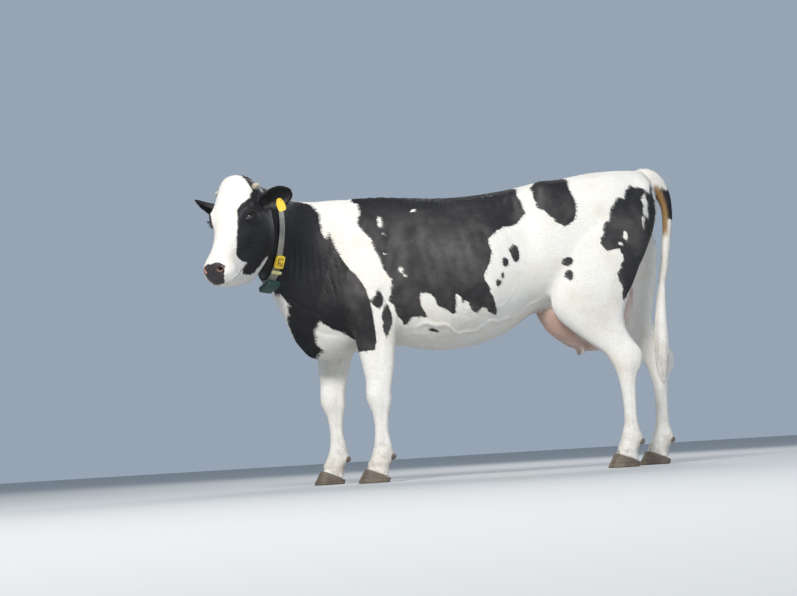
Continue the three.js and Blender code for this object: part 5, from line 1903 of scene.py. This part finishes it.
def build_coat(hide, paint):
    """The short coat of the whole body, in pieces."""
    x, _ = girth(hide.middle)
    trunk = np.isin(hide.part, (TRUNK, NECK))
    hidden = (near_collar(hide.middle) > 0.95) | under_pads(hide.middle)
    for name, (start, end) in TRUNK_PIECES.items():
        first = start if start > -1 else -FAR  # the foremost piece has no front end
        density = (trunk & (x >= first) & (x < end) & ~hidden).astype(float)
        density *= 1 - 0.75 * np.clip(hide.at("pink"), 0, 1)
        grow(hide, name, density, trunk_shape, body_map(start, end), paint)

    height = hide.middle[:, 2]
    for name, first in LEG_PIECES.items():
        density = np.isin(hide.part, (first, first + 1)) * (1 + 0.8 * (1 - ramp(height, 0.2, 0.5)))
        grow(hide, name, density, leg_shape, limb_map(first), paint)
    grow(hide, "coat_udder", (hide.part == UDDER).astype(float), udder_shape, body_map(0.45, 1.0), paint)

    q = head_places(hide.middle)
    on = ear_places(q)
    bare = np.maximum.reduce([hide.at(key) for key in ("pad", "rim", "hollow")])
    head = (hide.part == HEAD) & (bare < 0.3) & (near_collar(hide.middle) < 0.9)
    density = head * (on < 0.5) * (1 + 0.9 * bump(q[:, 0], 0.44, 0.08))
    grow(hide, "coat_head", density, head_shape, head_map, paint)
    grow(hide, "coat_ears", (head & (on >= 0.5)).astype(float), ear_shape, ear_map, paint)

    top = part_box("tail_switch")[1][2]
    density = (hide.part == TAIL) + (hide.part == SWITCH) * ramp(height, top - 0.10, top - 0.02)
    grow(hide, "coat_tail", density, tail_shape, tail_map, paint)


def switch_form():
    """The middle and the half width of the tail's end at several heights."""
    co, _ = node_arrays("tail_switch")
    order = co[:, 2].argsort()
    rings = np.split(co[order], np.where(np.diff(co[order, 2]) > RING_GAP)[0] + 1)
    levels = np.array([ring[:, 2].mean() for ring in rings])
    middles = np.array([(ring.min(0) + ring.max(0))[:2] / 2 for ring in rings])
    return levels, middles, np.array([np.ptp(ring[:, :2], axis=0).mean() / 2 for ring in rings])


def build_switch(hide, paint):
    """The switch: long wavy locks that fill the node's form round a thin core and narrow together."""
    count = SWITCH_COUNT
    low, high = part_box("tail_switch")
    height = hide.middle[:, 2]
    density = np.isin(hide.part, (TAIL, SWITCH)) * (1 - ramp(height, high[2] - 0.03, high[2] + 0.10))
    density *= 1 + 1.5 * (1 - ramp(height, low[2] + 0.12, low[2] + 0.30))
    roots, rng = hide.roots(density, count, SWITCH_SEED)
    roots["tint"] = varied(rng, roots, 0, 1)
    p = roots["p"]
    levels, middles, radii = switch_form()

    def middle_at(level):
        return np.stack([np.interp(level, levels, middles[:, k]) for k in (0, 1)], 1)

    lowest = low[2] + 0.004 + 0.10 * varied(rng, roots, 0, 1) ** 1.6
    drop = np.clip(p[:, 2] - lowest, 0.015, 0.24 + 0.20 * varied(rng, roots, 0, 1))
    offset = (p[:, :2] - middle_at(p[:, 2])).T
    start, angle = np.hypot(*offset), np.arctan2(*offset)
    share = 0.94 * np.sqrt(varied(rng, roots, 0, 1))
    phase, wave = varied(rng, roots, 0, 2 * math.pi), varied(rng, roots, 0.03, 0.12)
    path = np.empty((count, SWITCH_STEPS, 3))
    for k, s in enumerate(np.linspace(0, 1, SWITCH_STEPS)):
        level = p[:, 2] - drop * s
        radius = np.interp(level, levels, radii)
        aim = np.maximum(radius * share, np.minimum(radius - tail_depth(level) + 0.003, radius * 0.9))
        away = start + (aim - start) * ramp(drop * s, 0, 0.07) - ROOT_SINK * (s == 0)
        turn = angle + wave * np.sin(phase + 5.5 * s) * s
        path[:, k, :2] = middle_at(level) + away[:, None] * np.stack([np.sin(turn), np.cos(turn)], 1)
        path[:, k, 2] = level
    n = np.stack([np.sin(angle), np.cos(angle), np.zeros(count)], 1)
    out = np.repeat(n[:, None], SWITCH_STEPS, 1) * 0.45
    width = 0.0034 * varied(rng, roots, 0.6, 1.3)
    uv = np.stack([angle / (2 * math.pi) + 0.5, np.clip((p[:, 2] - low[2]) / 0.55, 0, 1)], 1)
    locks("switch_locks", roots, path, out, width, width * 0.4, uv, paint, (0.5, 1.0))


def build_lashes(paint):
    """Long lashes along the upper lid's edge and short ones along the lower lid's."""
    rng = np.random.default_rng(LASH_SEED)
    steps = np.linspace(0, 1, LASH_STEPS)[:, None]
    for side, sign in SIDES.items():
        along, up, out = eye_axes(sign)
        paths = []
        for where, number, reach, off, droop, curl in LASHES:
            high = SLIT["above" if where > 0 else "below"]
            for k in range(number):
                a = SLIT["half"] * (-0.92 + 1.84 * (k + rng.uniform(0, 1)) / number)
                arch = 1 - (a / SLIT["half"]) ** 2
                b = where * (high * arch + off)
                c = math.sqrt(max((EYE_RADIUS + SLIT["lid"]) ** 2 - a * a - b * b, 1e-6))
                root = along * a + up * b + out * (c - 0.0012)
                size = reach * rng.uniform(0.7, 1.1) * (0.6 + 0.4 * arch)
                tilt = rng.normal(0, 0.18) + 0.35 * a / SLIT["half"]
                way = unit(out * 0.95 + along * tilt + up * droop)
                paths.append(root + size * (way * steps + up * curl * steps ** 2 * 0.5))
        count = len(paths)
        path = from_head(np.array(paths) + mirrored(EYE_PLACE, sign))
        outward = np.tile(HEAD_AXES @ up, (count, LASH_STEPS, 1))
        roots = {key: np.zeros(count) for key in CARRIED}
        roots["black"] = np.full(count, 0.03)
        roots["tint"] = rng.uniform(0, 1, count)
        width = np.full(count, 0.00055)
        uv = np.stack([(np.arange(count) + 0.5) / count, np.full(count, 0.5)], 1)
        locks("lashes_" + side, roots, path, outward, width, width, uv, paint)


def coat_paint():
    paint = Paint("coat_locks")
    strands = hair_strands(paint, 66.0, 900.0)
    colour, dark = coat_colours(paint, strands)
    tint = paint.value("tint")
    # each lock is darker towards its root: painted shade
    shade = paint.math("SUBTRACT", paint.fit(paint.value("along"), 0.10, 0.93), 0.05)
    shade = paint.times(paint.fit(tint, 0.10, shade), paint.span(strands, 0.30, 0.70, 0.92, 1.06))
    rough = paint.fit(tint, 0.10, paint.math("SUBTRACT", paint.fit(dark, -0.16, 0.62), 0.05))
    normal = paint.bumped(strands, 0.0010, 0.6)
    return paint.shade(
        Base_Color=paint.lit(colour, shade), Roughness=rough, Normal=normal, Specular_IOR_Level=0.33,
        Sheen_Weight=0.06, Sheen_Roughness=0.4,
    )


# ---------------------------------------------------------------- floor, light and camera
FLOOR = {"half": 40, "back": 60}  # metres to each side and to the front, and behind
# Each lamp: place, aim, size, watts and colour.
LAMPS = {
    "key": ((-2.7, -6.3, 5.4), (0, 0, 1.0), 2.4, 580, (1, 0.97, 0.93)),
    "fill": ((5, -6, 2.5), (0, 0, 0.8), 5.0, 90, (0.9, 0.95, 1)),
    "rim": ((2, 5, 5), (0, 0, 1.0), 3.0, 200, (1, 0.98, 0.95)),
}
STUDIO = {"Color": (0.50, 0.60, 0.73, 1), "Strength": 0.62}
# The camera's place and aim, counted from START, its roll in degrees and its lens in millimetres.
CAMERA = {"place": (-1.0637, -7.7804, 0.12), "aim": (-0.2275, 0.1758, 0.911), "roll": 3.5, "lens": 72.27}


def build_floor():
    half, back = FLOOR["half"], FLOOR["back"]
    corners = [(-half, -half, 0), (half, -half, 0), (half, back, 0), (-half, back, 0)]
    floor = new_object("floor", corners, [(0, 1, 2, 3)], False)
    floor.data.materials.append(Paint("floor").shade(Base_Color=TONES["floor"], Roughness=0.9))


def build_light():
    world = bpy.data.worlds.new("studio")
    world.use_nodes = True
    for key, value in STUDIO.items():
        world.node_tree.nodes["Background"].inputs[key].default_value = value
    for name, (place, aim, size, power, colour) in LAMPS.items():
        lamp = bpy.data.lights.new(name, "AREA")
        lamp.shape = "DISK"
        lamp.size, lamp.energy, lamp.color = size, power, colour
        obj = placed(name, lamp)
        obj.location = place
        obj.rotation_euler = (Vector(aim) - Vector(place)).to_track_quat("-Z", "Y").to_euler()
    scene = bpy.context.scene
    scene.world = world
    scene.view_settings.view_transform = "Standard"
    scene.view_settings.look = "None"


def build_camera():
    camera = bpy.data.cameras.new("camera")
    camera.lens = CAMERA["lens"]
    camera.sensor_width = 36
    place, aim = (Vector(CAMERA[key]) + Vector((START, 0, 0)) for key in ("place", "aim"))
    turn = (aim - place).to_track_quat("-Z", "Y").to_matrix().to_4x4()
    obj = placed("camera", camera)
    obj.matrix_world = Matrix.Translation(place) @ turn @ Matrix.Rotation(math.radians(-CAMERA["roll"]), 4, "Z")
    bpy.context.scene.camera = obj


# ---------------------------------------------------------------- making
skin = build_skin()
paint_skin(skin)
flesh = ("trunk", "neck", "udder", "tail", "tail_switch", "head", "ear_left", "ear_right", *LEGS)
finish_piece(skin, "coat", skin_paint(), *flesh)
hide = Hide(skin)
locks_paint = coat_paint()
build_coat(hide, locks_paint)
build_switch(hide, locks_paint)
build_lashes(locks_paint)
eyes_paint, horns_paint, claws_paint = eye_paint(), horn_paint(), claw_paint()
for side in SIDES:
    build_eye(side, eyes_paint)
for side in SIDES:
    build_horn(side, horns_paint)
for name in sorted(name for name in NODES if "claw" in name):
    build_claw(name, claws_paint)
build_strap(strap_paint())
build_pads()
build_floor()
build_light()
build_camera()
